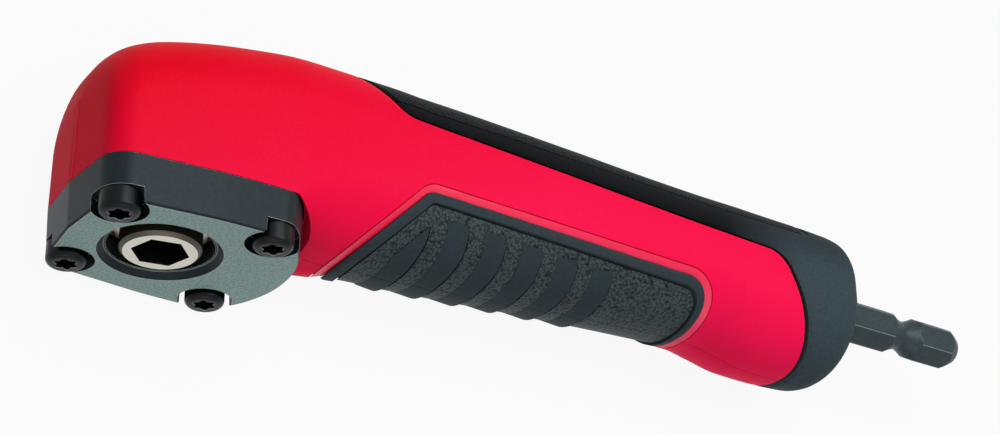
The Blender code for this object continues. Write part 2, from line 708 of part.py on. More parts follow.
def tooth_profile(scale):
    """One tooth's outline as (axial depth, radius, angle), heel at scale 1."""
    virtual = PITCH_RADIUS / HALF_SQRT
    base = virtual * math.cos(PRESSURE_ANGLE)
    pitch_half = math.pi * MODULE / 4 / virtual - BACKLASH / 4 / virtual

    def involute(radius):
        pressure = math.acos(min(base / radius, 1.0))
        return math.tan(pressure) - pressure

    flank = []
    for offset in np.linspace(-DEDENDUM * MODULE, ADDENDUM * MODULE, 3):
        radius = virtual + offset
        half = (pitch_half + involute(virtual) - involute(radius)) / HALF_SQRT
        axial = PITCH_RADIUS - offset * HALF_SQRT
        flank.append((axial * scale, (PITCH_RADIUS + offset * HALF_SQRT) * scale, half))
    return [(a, r, -h) for a, r, h in flank] + [(a, r, h) for a, r, h in reversed(flank)]


def make_bevel_gear(name, axis, sign, phase, flat_phase):
    """Straight bevel gear on the X or Y axis, its teeth towards the origin."""
    heel, toe = tooth_profile(1.0), tooth_profile(TOE)
    bore = double_flat(SEAT_RADIUS + FIT + 0.05, SEAT_FLAT + FIT)
    rings = [[] for _ in range(7)]
    for tooth in range(TEETH):
        centre = phase + math.tau * tooth / TEETH
        for (a_heel, r_heel, turn), (a_toe, r_toe, _) in zip(heel, toe):
            angle = centre + turn
            hub = bore(angle - flat_phase)
            places = ((GEAR_FRONT, hub), (GEAR_FRONT, toe[0][1] - 0.08), (a_toe, r_toe), (a_heel, r_heel),
                      (HEEL_ROOT_DEPTH + 0.15, HEEL_ROOT_RADIUS - 0.05), (GEAR_BACK, HEEL_ROOT_RADIUS - 0.05),
                      (GEAR_BACK, hub))
            for ring, (along, radius) in zip(rings, places):
                ring.append(axis_point(axis, sign * along, radius, angle))
    gear = lofted(name, rings, "bright_steel", closed=True)
    smooth(gear, 25.0)
    return gear


def make_bearing(prefix, axis, low, bore, outer, width, balls):
    """A ball bearing as outer race, inner race and caged balls."""
    pitch = (bore + outer) / 4
    ball = 0.15 * (outer - bore)
    groove = ball + FIT + 0.1
    middle = low + width / 2
    angles = np.radians([-48, 0, 48])
    lip = groove * math.cos(angles[0])
    arc = [(middle + groove * math.sin(a), groove * math.cos(a)) for a in angles]
    inner = [(low, bore / 2), (low, pitch - lip)] + [(a, pitch - r) for a, r in arc]
    inner += [(low + width, pitch - lip), (low + width, bore / 2)]
    outside = [(low, outer / 2), (low, pitch + lip)] + [(a, pitch + r) for a, r in arc]
    outside += [(low + width, pitch + lip), (low + width, outer / 2)]
    race = turned(prefix + "_inner_race", axis, inner, "bright_steel", 16, hollow=True)
    shell = turned(prefix + "_outer_race", axis, outside, "bright_steel", 16, hollow=True)
    web = 0.3 * width
    ring = ((middle - web, pitch - 0.3), (middle - web, pitch + 0.3), (middle + web, pitch + 0.3),
            (middle + web, pitch - 0.3))
    cage = turned(prefix + "_ball_cage", axis, ring, "bronze", 14, hollow=True)
    for k in range(balls):
        centre = axis_point(axis, middle, pitch, math.tau * k / balls)
        work = bmesh.new()
        bmesh.ops.create_uvsphere(work, u_segments=5, v_segments=4, radius=ball * MM,
                                  matrix=Matrix.Translation(Vector(centre) * MM))
        mesh = bpy.data.meshes.new("ball")
        work.to_mesh(mesh)
        work.free()
        sphere = bpy.data.objects.new("ball", mesh)
        bpy.context.scene.collection.objects.link(sphere)
        join(cage, sphere)
    for thing in (race, shell, cage):
        smooth(thing)


def make_cover_screw(name, x, z):
    """Cap screw with a six-lobe recess, driven from the output side."""
    top = OUTPUT_FACE + SCREW_PROUD
    under = top - SCREW_HEAD

    def lobes(angle):
        return 1.42 + 0.2 * math.cos(6 * angle)
    profile = ((-top + 1.5, lobes), (-top, lobes), (-top, SCREW_HEAD_RADIUS - 0.55),
               (-top + 0.45, SCREW_HEAD_RADIUS), (-under, SCREW_HEAD_RADIUS), (-under, SCREW_RADIUS),
               (SCREW_LENGTH - under - 0.4, SCREW_RADIUS), (SCREW_LENGTH - under, SCREW_RADIUS - 0.4))
    smooth(turned(name, "y", profile, "black_oxide", 12, centre=(x, z)))


def make_housing_screw(name, x, y):
    """Pan head screw in the far flank."""
    top = SHELL_SEAT + 2 * FIT + SHELL_HEAD

    def lobes(angle):
        return 0.95 + 0.18 * math.cos(6 * angle)
    seat = -SHELL_SEAT - 2 * FIT
    profile = ((-top + 1.2, lobes), (-top, lobes), (-top, SHELL_HEAD_RADIUS - 0.6),
               (-top + 0.6, SHELL_HEAD_RADIUS), (seat, SHELL_HEAD_RADIUS), (seat, SHELL_SCREW_RADIUS),
               (SHELL_SCREW_REACH - 0.6, SHELL_SCREW_RADIUS), (SHELL_SCREW_REACH, SHELL_SCREW_RADIUS - 0.6))
    smooth(turned(name, "z", profile, "black_oxide", 12, centre=(x, y)))


def make_output_spindle():
    """Spindle from the hex socket up to its journal in the upper bush."""
    magnet_room = MAGNET_RADIUS + FIT
    socket_end = -OUTPUT_FACE + SOCKET_DEPTH
    pocket_end = socket_end + MAGNET_LENGTH + FIT
    shoulder = -GEAR_BACK - FIT
    journal = OUTPUT_BORE / 2 - FIT
    seat = double_flat(SEAT_RADIUS, SEAT_FLAT)
    profile = ((pocket_end, magnet_room), (socket_end, magnet_room), (socket_end, hexagon(SOCKET_FLATS)),
               (-OUTPUT_FACE + 0.4, hexagon(SOCKET_FLATS)), (-OUTPUT_FACE, hexagon(SOCKET_MOUTH)),
               (-OUTPUT_FACE, NOSE_FACE_RADIUS), (-OUTPUT_FACE + 0.5, NOSE_RADIUS),
               (-OUTPUT_BOTTOM - FIT, NOSE_RADIUS), (-OUTPUT_BOTTOM - FIT, journal),
               (shoulder, journal), (shoulder, seat), (-GEAR_FRONT, seat), (-GEAR_FRONT, NECK_RADIUS),
               (SPINDLE_TOP - 0.3, NECK_RADIUS), (SPINDLE_TOP, NECK_RADIUS - 0.3))
    smooth(turned("output_spindle", "y", profile, "bright_steel", 24, phase=SOCKET_PHASE))
    magnet = ((socket_end + FIT, MAGNET_RADIUS), (socket_end + MAGNET_LENGTH, MAGNET_RADIUS))
    smooth(turned("socket_magnet", "y", magnet, "magnet"))
    spacer = ((-OUTPUT_TOP + FIT, OUTPUT_BORE / 2), (-OUTPUT_TOP + FIT, OUTPUT_BORE / 2 + 1.2),
              (-GEAR_BACK - FIT, OUTPUT_BORE / 2 + 1.2), (-GEAR_BACK - FIT, OUTPUT_BORE / 2))
    smooth(turned("output_spacer", "y", spacer, "dark_steel", hollow=True))
    bore = NECK_RADIUS + FIT
    bush = ((UPPER_BUSH_START, bore), (UPPER_BUSH_START, bore + BUSH_WALL),
            (SPINDLE_TOP, bore + BUSH_WALL), (SPINDLE_TOP, bore))
    smooth(turned("upper_bush", "y", bush, "bronze", hollow=True))


def make_input_shaft():
    """Shaft from the pinion's seat to the grooved hex shank."""
    journal = INPUT_BORE / 2 - FIT
    seat = double_flat(SEAT_RADIUS, SEAT_FLAT)
    clip_end = INPUT_BACK + CLIP + 3 * FIT
    hex_start = REAR_BUSH_START + REAR_BUSH_LENGTH + 1.0
    shank = [(hex_start, hexagon(HEX_FLATS, HEX_CORNER))]
    for share in (-1.0, -0.75, -0.4, 0.0, 0.4, 0.75, 1.0):
        limit = GROOVE_RADIUS + (HEX_CORNER - GROOVE_RADIUS) * abs(share) ** 1.5
        shank.append((GROOVE_CENTRE + share * GROOVE_WIDTH / 2, hexagon(HEX_FLATS, limit)))
    for share in (0.0, 0.5, 1.0):
        limit = HEX_CORNER + (SHANK_END_RADIUS - HEX_CORNER) * share ** 1.2
        shank.append((SHANK_TIP - SHANK_CHAMFER * (1 - share), hexagon(HEX_FLATS, limit)))
    profile = [(SHAFT_FRONT, SEAT_RADIUS - 0.6), (SHAFT_FRONT + 0.4, seat), (GEAR_BACK + FIT, seat),
               (GEAR_BACK + FIT, journal), (INPUT_BACK + FIT, journal), (INPUT_BACK + FIT, SHAFT_RADIUS),
               (clip_end, SHAFT_RADIUS), (clip_end, journal), (clip_end + 1.0, journal),
               (clip_end + 1.3, SHAFT_RADIUS), (REAR_BUSH_START - 1.5, SHAFT_RADIUS),
               (REAR_BUSH_START - 1.0, REAR_JOURNAL), (hex_start - 0.3, REAR_JOURNAL)]
    smooth(turned("input_shaft", "x", profile + shank, "dark_steel", 18, phase=SHANK_PHASE))
    shim = ((GEAR_BACK + FIT, INPUT_BORE / 2), (GEAR_BACK + FIT, INPUT_BORE / 2 + 1.3),
            (GEAR_BACK + FIT + SHIM, INPUT_BORE / 2 + 1.3), (GEAR_BACK + FIT + SHIM, INPUT_BORE / 2))
    smooth(turned("pinion_shim", "x", shim, "dark_steel", hollow=True))
    clip_low = INPUT_BACK + 2 * FIT
    smooth(split_ring("shaft_circlip", "x", SHAFT_RADIUS + FIT, INPUT_BORE / 2 + 1.0,
                      clip_low, clip_low + CLIP, math.radians(70), "dark_steel"))
    smooth(split_ring("bearing_circlip", "x", INPUT_OUTER / 2 - 1.4, INPUT_OUTER / 2 + 0.55,
                      clip_low, clip_low + CLIP, math.radians(50), "dark_steel"))
    bore = REAR_JOURNAL + FIT
    wall = bore + REAR_BUSH_WALL
    bush = ((REAR_BUSH_START, bore), (REAR_BUSH_START, wall + 1.2), (REAR_BUSH_START + REAR_FLANGE, wall + 1.2),
            (REAR_BUSH_START + REAR_FLANGE, wall), (REAR_BUSH_START + REAR_BUSH_LENGTH, wall),
            (REAR_BUSH_START + REAR_BUSH_LENGTH, bore))
    smooth(turned("rear_bush", "x", bush, "bronze", hollow=True))


def carry_all():
    """Hang every piece on an empty that puts the shank's end at the origin."""
    axes = bpy.data.objects.new("tool_axes", None)
    bpy.context.scene.collection.objects.link(axes)
    axes.location = (-SHANK_TIP * MM, 0.0, 0.0)
    for thing in bpy.data.objects:
        if thing is not axes:
            thing.parent = axes


def build():
    clear_scene()
    make_housing_half("housing_near_half", 1)
    make_housing_half("housing_far_half", -1)
    make_back_grip("back_grip_near", 1)
    make_back_grip("back_grip_far", -1)
    make_grip_pad("grip_pad_near", 1)
    make_grip_pad("grip_pad_far", -1)
    make_cover_plate()
    make_gear_case()
    for name, (x, z) in COVER_SCREWS.items():
        make_cover_screw(name, x, z)
    for name, (x, y) in SHELL_SCREWS.items():
        make_housing_screw(name, x, y)
    make_output_spindle()
    make_bevel_gear("output_gear", "y", -1, 0.0, SOCKET_PHASE)
    make_bearing("output", "y", -OUTPUT_BOTTOM, OUTPUT_BORE, OUTPUT_OUTER, OUTPUT_WIDTH, 8)
    make_input_shaft()
    make_bevel_gear("input_pinion", "x", 1, math.pi + math.pi / TEETH, SHANK_PHASE)
    make_bearing("input", "x", INPUT_FRONT, INPUT_BORE, INPUT_OUTER, INPUT_WIDTH, 7)
    carry_all()


build()
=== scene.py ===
"""Looks of the right angle attachment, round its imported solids.

Lengths are in millimetres in the tool's own axes, whose origin is where the shaft's
axis crosses the spindle's: X runs towards the hex shank, Y away from the open socket
and Z up, through the near flank. FROM_SHANK_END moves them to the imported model's.
"""
import math

import bmesh
import bpy
import numpy as np
from mathutils import Matrix, Vector


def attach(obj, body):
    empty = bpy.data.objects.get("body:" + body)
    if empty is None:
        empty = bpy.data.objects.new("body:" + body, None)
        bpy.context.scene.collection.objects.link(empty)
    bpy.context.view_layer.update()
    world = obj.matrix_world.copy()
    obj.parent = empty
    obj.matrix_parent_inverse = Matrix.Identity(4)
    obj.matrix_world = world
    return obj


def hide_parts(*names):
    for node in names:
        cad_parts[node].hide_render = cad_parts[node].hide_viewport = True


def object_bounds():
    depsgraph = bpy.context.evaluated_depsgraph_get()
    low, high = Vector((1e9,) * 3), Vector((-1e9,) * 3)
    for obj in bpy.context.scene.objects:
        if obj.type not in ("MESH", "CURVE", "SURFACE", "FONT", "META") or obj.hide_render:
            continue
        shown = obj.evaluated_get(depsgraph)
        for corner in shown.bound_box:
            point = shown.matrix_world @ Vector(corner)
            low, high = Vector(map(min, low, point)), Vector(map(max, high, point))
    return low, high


MM = 0.001
FROM_SHANK_END = Vector((-141.0, 0.0, 0.0))

# Camera, fitted to the hex shank, the hex socket and the cover plate's screws
CAMERA_PLACE = (-106.71, -151.86, 243.26)
CAMERA_TARGET = (52.911, 0.051, 0.0)
CAMERA_ROLL = 54.43
CAMERA_LENS = 81.16

FIT = 0.1
SEAM = 0.05

# Lengths past the outside of every piece, for bodies that cut or trim
OUTSIDE = 30.0
WIDE = 40.0
PAST_END = 4.0

# Housing, outside
NOSE_X = -13.3
CAP_END = 112.0
HEAD_HALF_WIDTH = 13.05
HEAD_REAR = 13.1
REAR_ARC = 18.05
REAR_CORNER = 3.0
REAR_ARC_X = 0.3
HEAD_WALL = 1.5
SKIRT_WALL = 0.85
HANDLE_WALL = 2.7
WALL_BLEND_START = 19.0
WALL_BLEND = 7.0
SKIRT_TOP = 8.3
SKIRT_END = HEAD_REAR + 7.0
COLLAR_FLARE = 0.9
COLLAR_WALL = 1.5
COLLAR_DEPTH = 2.4
COLLAR_GAP = 0.2
COLLAR_FOOT_GAP = 0.5
COLLAR_CORE = 10.0
COLLAR_BOX = ((5.0, -20.0, -20.0), (25.0, -10.0, 20.0))
PLATE_TOP = 13.3
NOSE_ROUNDING = 6.0
FRONT_CORNER = (-12.35, 11.4, 4.0)
SIDE_BEND = (3.0, 0.13, 40.0)
HOUSING_EDGE = PLATE_TOP - FIT
OUTPUT_FACE = 19.96
GRIP_DEPTH = 1.3
REAR_JOURNAL = 3.85
REAR_BUSH_START = 98.0
REAR_BUSH_LENGTH = 8.0
REAR_BUSH_RADIUS = 5.65
REAR_FLANGE = 1.2
FLANGE_RIM = 1.2
REAR_HOLE_GAP = 0.35
CAP_HOLE_START = 90.0
CAP_HOLE_GAP = 0.7
LEAST_HALF = 0.8
LEAST_RADIUS = 0.3
LEAST_FLAT = 0.4
NOSE_ZONE = 2.6
RIM_ZONE = 4.5

# Stations of the housing: x, top, belly, half width, crown and keel radius
STATIONS = (
    (NOSE_X, -1.65, 15.4, HEAD_HALF_WIDTH, 5.9, 0.8),
    (-12.4, 2.35, 15.4, HEAD_HALF_WIDTH, 7.9, 0.8),
    (-10.4, 5.4, 15.4, HEAD_HALF_WIDTH, 10.5, 0.8),
    (-7.8, 7.35, 15.4, HEAD_HALF_WIDTH, 10.9, 0.8),
    (-4.8, 8.75, 15.4, HEAD_HALF_WIDTH, 11.3, 0.8),
    (0.0, 10.0, 15.4, HEAD_HALF_WIDTH, 11.4, 0.8),
    (6.0, 11.0, 15.4, HEAD_HALF_WIDTH, 11.1, 0.8),
    (HEAD_REAR, 12.0, 15.4, HEAD_HALF_WIDTH, 10.9, 3.5),
    (17.0, 12.3, 15.25, 12.75, 10.6, 6.5),
    (21.0, 12.45, 15.4, 12.4, 10.4, 9.0),
    (26.0, 12.8, 15.45, 12.15, 10.8, 10.8),
    (33.0, 13.1, 15.35, 12.0, 11.4, 11.8),
    (40.0, 13.05, 14.95, 11.9, 12.0, 12.0),
    (60.0, 12.5, 13.45, 11.7, 12.0, 12.0),
    (78.0, 11.9, 12.4, 11.5, 12.0, 12.0),
    (86.5, 11.75, 12.05, 11.5, 12.0, 12.0),
    (91.5, 11.75, 12.9, 11.55, 12.0, 12.0),
    (96.5, 11.65, 13.85, 11.6, 12.0, 12.0),
    (102.0, 11.6, 14.0, 11.6, 12.0, 12.0),
    (108.5, 11.45, 13.75, 11.45, 12.0, 12.0),
    (110.7, 11.25, 13.15, 11.2, 12.0, 12.0),
    (111.6, 10.85, 12.5, 10.8, 12.0, 12.0),
    (CAP_END, 10.2, 11.7, 10.0, 12.0, 12.0),
)
STRIP_CORNERS = ((17.8, 17.0, 0), (30.3, 4.4, 4.0), (96.6, 1.25, 5.0), (105.3, -16.5, 0),
                 (CAP_END + 5, -16.5, 0), (CAP_END + 5, 17.0, 0))
PAD_CORNERS = ((21.9, -19.5, 0), (34.25, -6.15, 2.5), (84.1, -6.35, 4.6), (84.5, -19.5, 0))

# Grip ribs
RIB_COUNT = 6
RIB_PITCH = 6.35
RIB_WIDTH = 3.25
RIB_FIRST = 34.55
RIB_TOP = -9.15
FIRST_RIB_SET = 3.7
RIB_CURVE = ((0.0, 0.0), (-1.2, 0.5), (-2.5, 0.75), (-3.6, 0.85), (-5.0, 0.65), (-8.5, 0.2))
BORDER = 1.4
FIELD_DROP = 0.35
RIB_RISE = 0.1
RIB_GROOVE = 0.45
RIB_LENGTH = 10.0
RIB_STEPS = 21
RIB_SETBACK = 0.3
RIB_LINE_SHARE = 0.7
CREST_START = 0.1
CREST_GAIN = 0.9
BELLY_SHARE = 0.55
FLANK_GAIN = 0.45
BELLY_FADE = (2.0, 6.0)
PAD_ROLL = 0.3
PAD_ROLL_WIDTH = 0.4
PAD_LIMIT = -2.5
PAD_MARGIN = 1.0
INNER_STRIDE = 5

# Bead of polished nylon round the pad, behind a fine crease
LIP = 1.15
CREASE = 0.14
LIP_FALL = 0.45
LIP_DEPTH = 0.6
LIP_FALL_LIMIT = 1.2

# Groove between the border of the pad and its pebbled field
LINE_WIDTH = 0.22
LINE_DEPTH = 0.65

# Textured band along the spine of the strip, and the nick behind it
BAND_EDGE = 6.65
BAND_END = 102.2
BAND_START = 15.0
BAND_TOP = 20.0
BAND_LINE = 0.16
BAND_LINE_DEPTH = 0.2
NICK = (103.1, 104.2)
NICK_EDGE = 0.1
NICK_FADE = (0.2, 1.2)
NICK_DEPTH = 0.3

# The back grip's raised part: the reveal groove round it lies over the grip's thin foot
GRIP_CORNERS = ((17.8, 17.0, 0), (30.3, 4.4, 4.0), (97.1, 1.24, 5.0), (105.8, -16.5, 0),
                (CAP_END + 5, -16.5, 0), (CAP_END + 5, 17.0, 0))
REVEAL = 0.35
FOOT = 0.35
GRIP_ROLL = 0.3
GRIP_ROLL_WIDTH = 0.8
STRIP_LIP = 0.12
STRIP_LIP_WIDTH = 0.5

# Screws
COVER_SCREWS = {
    "cover_screw_front_near": (-9.53, 8.34),
    "cover_screw_front_far": (-9.53, -8.34),
    "cover_screw_rear_near": (11.31, 9.91),
    "cover_screw_rear_far": (11.31, -9.91),
}
SHELL_SCREWS = {
    "housing_screw_head": (22.6, 6.4),
    "housing_screw_neck": (25.0, -9.0),
    "housing_screw_rear": (92.3, -7.2),
}
SCREW_PROUD = 0.8
SCREW_HEAD = 2.9
SCREW_HEAD_RADIUS = 2.72
SCREW_RADIUS = 1.45
SCREW_LENGTH = 8.0
SCREW_CHAMFER = 0.4
CROWN_HEIGHT = 0.85
CROWN_FLAT = 1.85
POCKET_RADIUS = 3.75
SCREW_HOLE_TOP = 5.0
SCREW_SEGMENTS = 72
BOSS_RADIUS = 3.0
BOSS_REACH = 13.0
BOSS_SKIN = 0.2
SHELL_SEAT = 5.7
SHELL_HEAD_RADIUS = 2.5
SHELL_HEAD = 1.9
SHELL_HEAD_GAP = 0.1
SHELL_BORE = (20.0, 1.0)
SHELL_SCREW_RADIUS = 1.4
SHELL_SCREW_REACH = 5.6
SHELL_CHAMFER = 0.6

# Six-lobe recesses: depth, mean radius and the lobes' swing
COVER_RECESS = ((1.7, 0.5, 0.0), (1.5, 1.3, 0.17), (0.12, 1.38, 0.2), (0.0, 1.48, 0.2))
SHELL_RECESS = ((1.2, 0.85, 0.15), (0.0, 0.98, 0.18))

# Rim of a pan head: depth and distance inside its radius
SHELL_CROWN = ((0.0, 0.8), (0.15, 0.3), (0.6, 0.0))

# Cover plate: its rim's height and growth, then its bore's flare as height and radius
PLATE_RIM = ((0.3, -0.25), (0.0, -0.5))
PLATE_EASE = 0.1
BEARING_BORE = 9.6
SPINDLE_WINDOW = 7.1
WINDOW_FLARE = ((0.9, SPINDLE_WINDOW), (0.9, 7.4), (0.25, 8.1), (0.0, 8.25), (-0.3, 8.6))
# Faces tilted past this and below this level are the plate's outer face; all other faces get the darker side
# colour, painted shade
OUTER_FACE_TILT = 0.9
OUTER_FACE_LEVEL = 19.5

# Spindle and shaft
SOCKET_PHASE = math.radians(132.0)
SHANK_PHASE = math.radians(184.5)
HEX_FLATS = 6.35
SOCKET_FLATS = 6.45
SOCKET_MOUTH = 6.75
SOCKET_DEPTH = 9.75
NOSE_RADIUS = 5.45
OUTPUT_BOTTOM = 16.96
SHANK_TIP = 141.0
SHANK_CHAMFER = 2.4
SHANK_END_RADIUS = 2.3
HEX_CORNER = 3.58
GROOVE_CENTRE = 129.65
GROOVE_WIDTH = 6.3
GROOVE_RADIUS = 2.33
WORN_DEPTH = 0.12
ROUND_SEGMENTS = 144
SOCKET_CHAMFER = 0.4
MAGNET_ROOM = (1.4, 2.0)
SPINDLE_SEAT = 4.9
SHANK_START = 107.0
JOURNAL_CHAMFER = 0.25

# Edge of the spindle's nose: height over its face and distance inside its radius
NOSE_EDGE = ((0.0, 0.55), (0.12, 0.35), (0.5, 0.0))

# Steps of the spindle behind its nose and of the shaft ahead of its shank
SPINDLE_STEPS = ((-9.7, SPINDLE_SEAT), (-9.7, 2.6), (6.6, 2.6), (6.9, 2.3))
SHAFT_STEPS = ((4.3, 2.8), (4.7, 3.0), (9.7, 3.0), (9.7, 3.9), (15.4, 3.9), (15.4, 3.4), (16.5, 3.4),
               (16.5, 3.9), (17.5, 3.9), (17.8, 3.4), (96.5, 3.4), (97.0, REAR_JOURNAL),
               (106.7, REAR_JOURNAL))


def hex_colour(code):
    """An sRGB hex colour as linear RGBA."""
    values = [int(code[k:k + 2], 16) / 255 for k in (1, 3, 5)]
    linear = [v / 12.92 if v <= 0.04045 else ((v + 0.055) / 1.055) ** 2.4 for v in values]
    return (*linear, 1.0)


def add_node(material, kind, settings=None, links=None):
    """Add a node, set its properties or inputs and link sockets into it."""
    node = material.node_tree.nodes.new(kind)
    for key, value in (settings or {}).items():
        if isinstance(key, int) or key in node.inputs:
            node.inputs[key].default_value = value
        else:
            setattr(node, key, value)
    for key, socket in (links or {}).items():
        material.node_tree.links.new(socket, node.inputs[key])
    return node


def blank_material(name):
    material = bpy.data.materials.new(name)
    material.use_nodes = True
    material.node_tree.nodes.clear()
    return material


def per_mm(size):
    """Noise scale for features of this size in millimetres."""
    return 1.0 / (size * MM)


def textured_material(name):
    """An empty material and its object coordinates."""
    material = blank_material(name)
    return material, add_node(material, "ShaderNodeTexCoord").outputs["Object"]


def noise(material, place, size, detail, roughness=0.5):
    """Cloudy noise with features of this size in millimetres."""
    settings = {"Scale": per_mm(size), "Detail": detail, "Roughness": roughness}
    return add_node(material, "ShaderNodeTexNoise", settings, {"Vector": place}).outputs["Fac"]


def map_range(material, value, source, result):
    """Carry a value from one range over to another, clamped."""
    settings = {1: source[0], 2: source[1], 3: result[0], 4: result[1]}
    return add_node(material, "ShaderNodeMapRange", settings, {0: value}).outputs[0]


def arithmetic(owner, operation, first, second, clamp=False):
    settings = {"operation": operation, "use_clamp": clamp}
    return add_node(owner, "ShaderNodeMath", settings, {0: first, 1: second}).outputs[0]


def two_tones(material, share, first, second):
    """Two hex colours mixed by a share."""
    tone = add_node(material, "ShaderNodeMix", {"data_type": "RGBA"}, {"Factor": share})
    tone.inputs[6].default_value = hex_colour(first)
    tone.inputs[7].default_value = hex_colour(second)
    return tone.outputs[2]


def finish_material(material, colour, height, relief, settings, invert=False):
    """Surface with a relief: the bump's strength and its depth in millimetres."""
    bump = add_node(material, "ShaderNodeBump",
                    {"Strength": relief[0], "Distance": relief[1] * MM, "invert": invert},
                    {"Height": height})
    shader = add_node(material, "ShaderNodeBsdfPrincipled", settings,
                      {"Base Color": colour, "Normal": bump.outputs["Normal"]})
    add_node(material, "ShaderNodeOutputMaterial", None, {"Surface": shader.outputs["BSDF"]})
    return material


def moulded_nylon(name, specular, roughness):
    """Glass-filled nylon, injection moulded: strong red and a fine dull grain, made pinker towards the belly
    and along the handle by painted bounce light and a painted sheen.
    """
    material, place = textured_material(name)
    along = add_node(material, "ShaderNodeSeparateXYZ", None, {0: place})
    # Painted light: pinker towards the belly, a painted bounce from below, and along the handle, a painted
    # sheen
    painted_bounce = map_range(material, along.outputs["Y"], (0.009, -0.013), (0.0, 0.4))
    far = map_range(material, along.outputs["X"], (-0.15, -0.085), (0.0, 0.6))
    reach = arithmetic(material, "ADD", painted_bounce, far)
    grain = noise(material, place, 0.32, 3.0)
    mottle = add_node(material, "ShaderNodeMath", {"operation": "MULTIPLY_ADD", 1: 0.5, 2: -0.25},
                      {0: grain})
    share = arithmetic(material, "ADD", reach, mottle.outputs[0], clamp=True)
    tone = two_tones(material, share, "#E60008", "#FC1252")
    return finish_material(material, tone, grain, (0.35, 0.03),
                           {"Roughness": roughness, "IOR": 1.53, "Specular IOR Level": specular})


def smooth_rubber(name, dark, light, specular, fades=False):
    """Thermoplastic rubber from a satin mould: charcoal, soft sheen; fades to dark ahead of the cap."""
    material, place = textured_material(name)
    dust = noise(material, place, 0.5, 4.0)
    share = dust
    if fades:
        along = add_node(material, "ShaderNodeSeparateXYZ", None, {0: place})
        cap = map_range(material, along.outputs["X"], (-0.055, -0.041), (0.0, 1.3))
        spine = map_range(material, along.outputs["Y"], (0.0098, 0.001), (0.15, 1.0))
        speckle = map_range(material, dust, (0.2, 0.8), (0.4, 0.6))
        both = arithmetic(material, "MULTIPLY", cap, spine)
        share = arithmetic(material, "MULTIPLY", both, speckle, clamp=True)
    tone = two_tones(material, share, dark, light)
    grain = noise(material, place, 0.25, 2.0)
    return finish_material(material, tone, grain, (0.3, 0.03),
                           {"Roughness": 0.6, "IOR": 1.5, "Specular IOR Level": specular})


def pebbled_rubber(name, light, dark, size, specular):
    """The same rubber from a spark-eroded mould, with pebbles of a size in millimetres; painted shade
    darkens the hollows between the pebbles and a painted highlight lightens their tops.
    """
    material, place = textured_material(name)
    bend = noise(material, place, 1.6, 2.0)
    pebbles = add_node(material, "ShaderNodeTexVoronoi", {"Scale": per_mm(size), "Randomness": 1.0},
                       {"Vector": place})
    height = add_node(material, "ShaderNodeMath", {"operation": "MULTIPLY_ADD", 1: 0.25},
                      {0: bend, 2: pebbles.outputs["Distance"]}).outputs[0]
    # Painted shade and highlight: the colour follows the pebbles' height, dark in the hollows and light on
    # the tops
    tone = two_tones(material, height, light, dark)
    return finish_material(material, tone, height, (0.9, 0.16),
                           {"Roughness": 0.5, "IOR": 1.5, "Specular IOR Level": specular}, invert=True)


def phosphated_steel():
    """Steel tumbled and phosphated: grey-green and granular."""
    material, place = textured_material("phosphated_steel_tumbled")
    specks = noise(material, place, 0.35, 6.0, 0.75)
    ramp = add_node(material, "ShaderNodeValToRGB", None, {"Fac": specks})
    for stop, position, tone in zip(ramp.color_ramp.elements, (0.3, 0.62), ("#4A5C59", "#86A39E")):
        stop.position = position
        stop.color = hex_colour(tone)
    return finish_material(material, ramp.outputs["Color"], specks, (0.3, 0.05),
                           {"Metallic": 0.55, "Roughness": 0.48})


def metal_finish(name, dark, light, roughness, metallic=0.7, specular=0.5):
    """Machined metal, bare or with a thin coat, rubbed satin."""
    material, place = textured_material(name)
    cloud = noise(material, place, 0.6, 5.0, 0.65)
    tone = two_tones(material, cloud, dark, light)
    return finish_material(material, tone, cloud, (0.2, 0.03),
                           {"Metallic": metallic, "Roughness": roughness, "Specular IOR Level": specular})


# Both nylons carry the painted bounce and sheen that moulded_nylon puts into the red
RED = moulded_nylon("glass_filled_nylon_red", 0.05, 0.55)
RED_LIP = moulded_nylon("glass_filled_nylon_bead", 0.6, 0.45)
RUBBER = smooth_rubber("moulded_rubber_satin", "#263034", "#364247", 0.07)
BACK_RUBBER = smooth_rubber("moulded_rubber_back", "#080B0D", "#46555C", 0.04, fades=True)
# Both pebbled rubbers carry painted shade in the pebbles' hollows and painted highlights on their tops
PEBBLES = pebbled_rubber("moulded_rubber_pebbled", "#4F5F61", "#0C1113", 0.42, 0.12)
BAND_RUBBER = pebbled_rubber("moulded_rubber_spine_band", "#0E1416", "#040606", 0.5, 0.03)
PLATE_FACE = phosphated_steel()
# Dark colour for the plate's sides, pockets and bore, standing in for their shade: painted shade
SHADED_PLATE_SIDE = metal_finish("plate_side_painted_shade", "#161C20", "#263035", 0.42, 0.3, 0.12)
WORN_EDGE = metal_finish("worn_phosphated_edge", "#8E9C9A", "#B9C4C2", 0.4)
BLACK_OXIDE = metal_finish("black_oxide_steel", "#040607", "#0C1012", 0.36, 0.3, 0.2)
DARK_STEEL = metal_finish("hardened_shank_steel", "#262F32", "#424F53", 0.4, 0.25, 0.12)
WORN_SHANK = metal_finish("worn_shank_edge", "#59666A", "#7E8B8F", 0.4, 0.4, 0.3)
GROUND_STEEL = metal_finish("ground_bearing_steel", "#BDB8AC", "#DCD8CE", 0.26, 1.0)
SPINDLE_FACE = metal_finish("ground_spindle_face", "#E2DECF", "#F2EFE2", 0.5, 0.3)
SPINDLE_FLANK = metal_finish("heat_tinted_spindle", "#3C3A35", "#57534B", 0.4, 0.8)
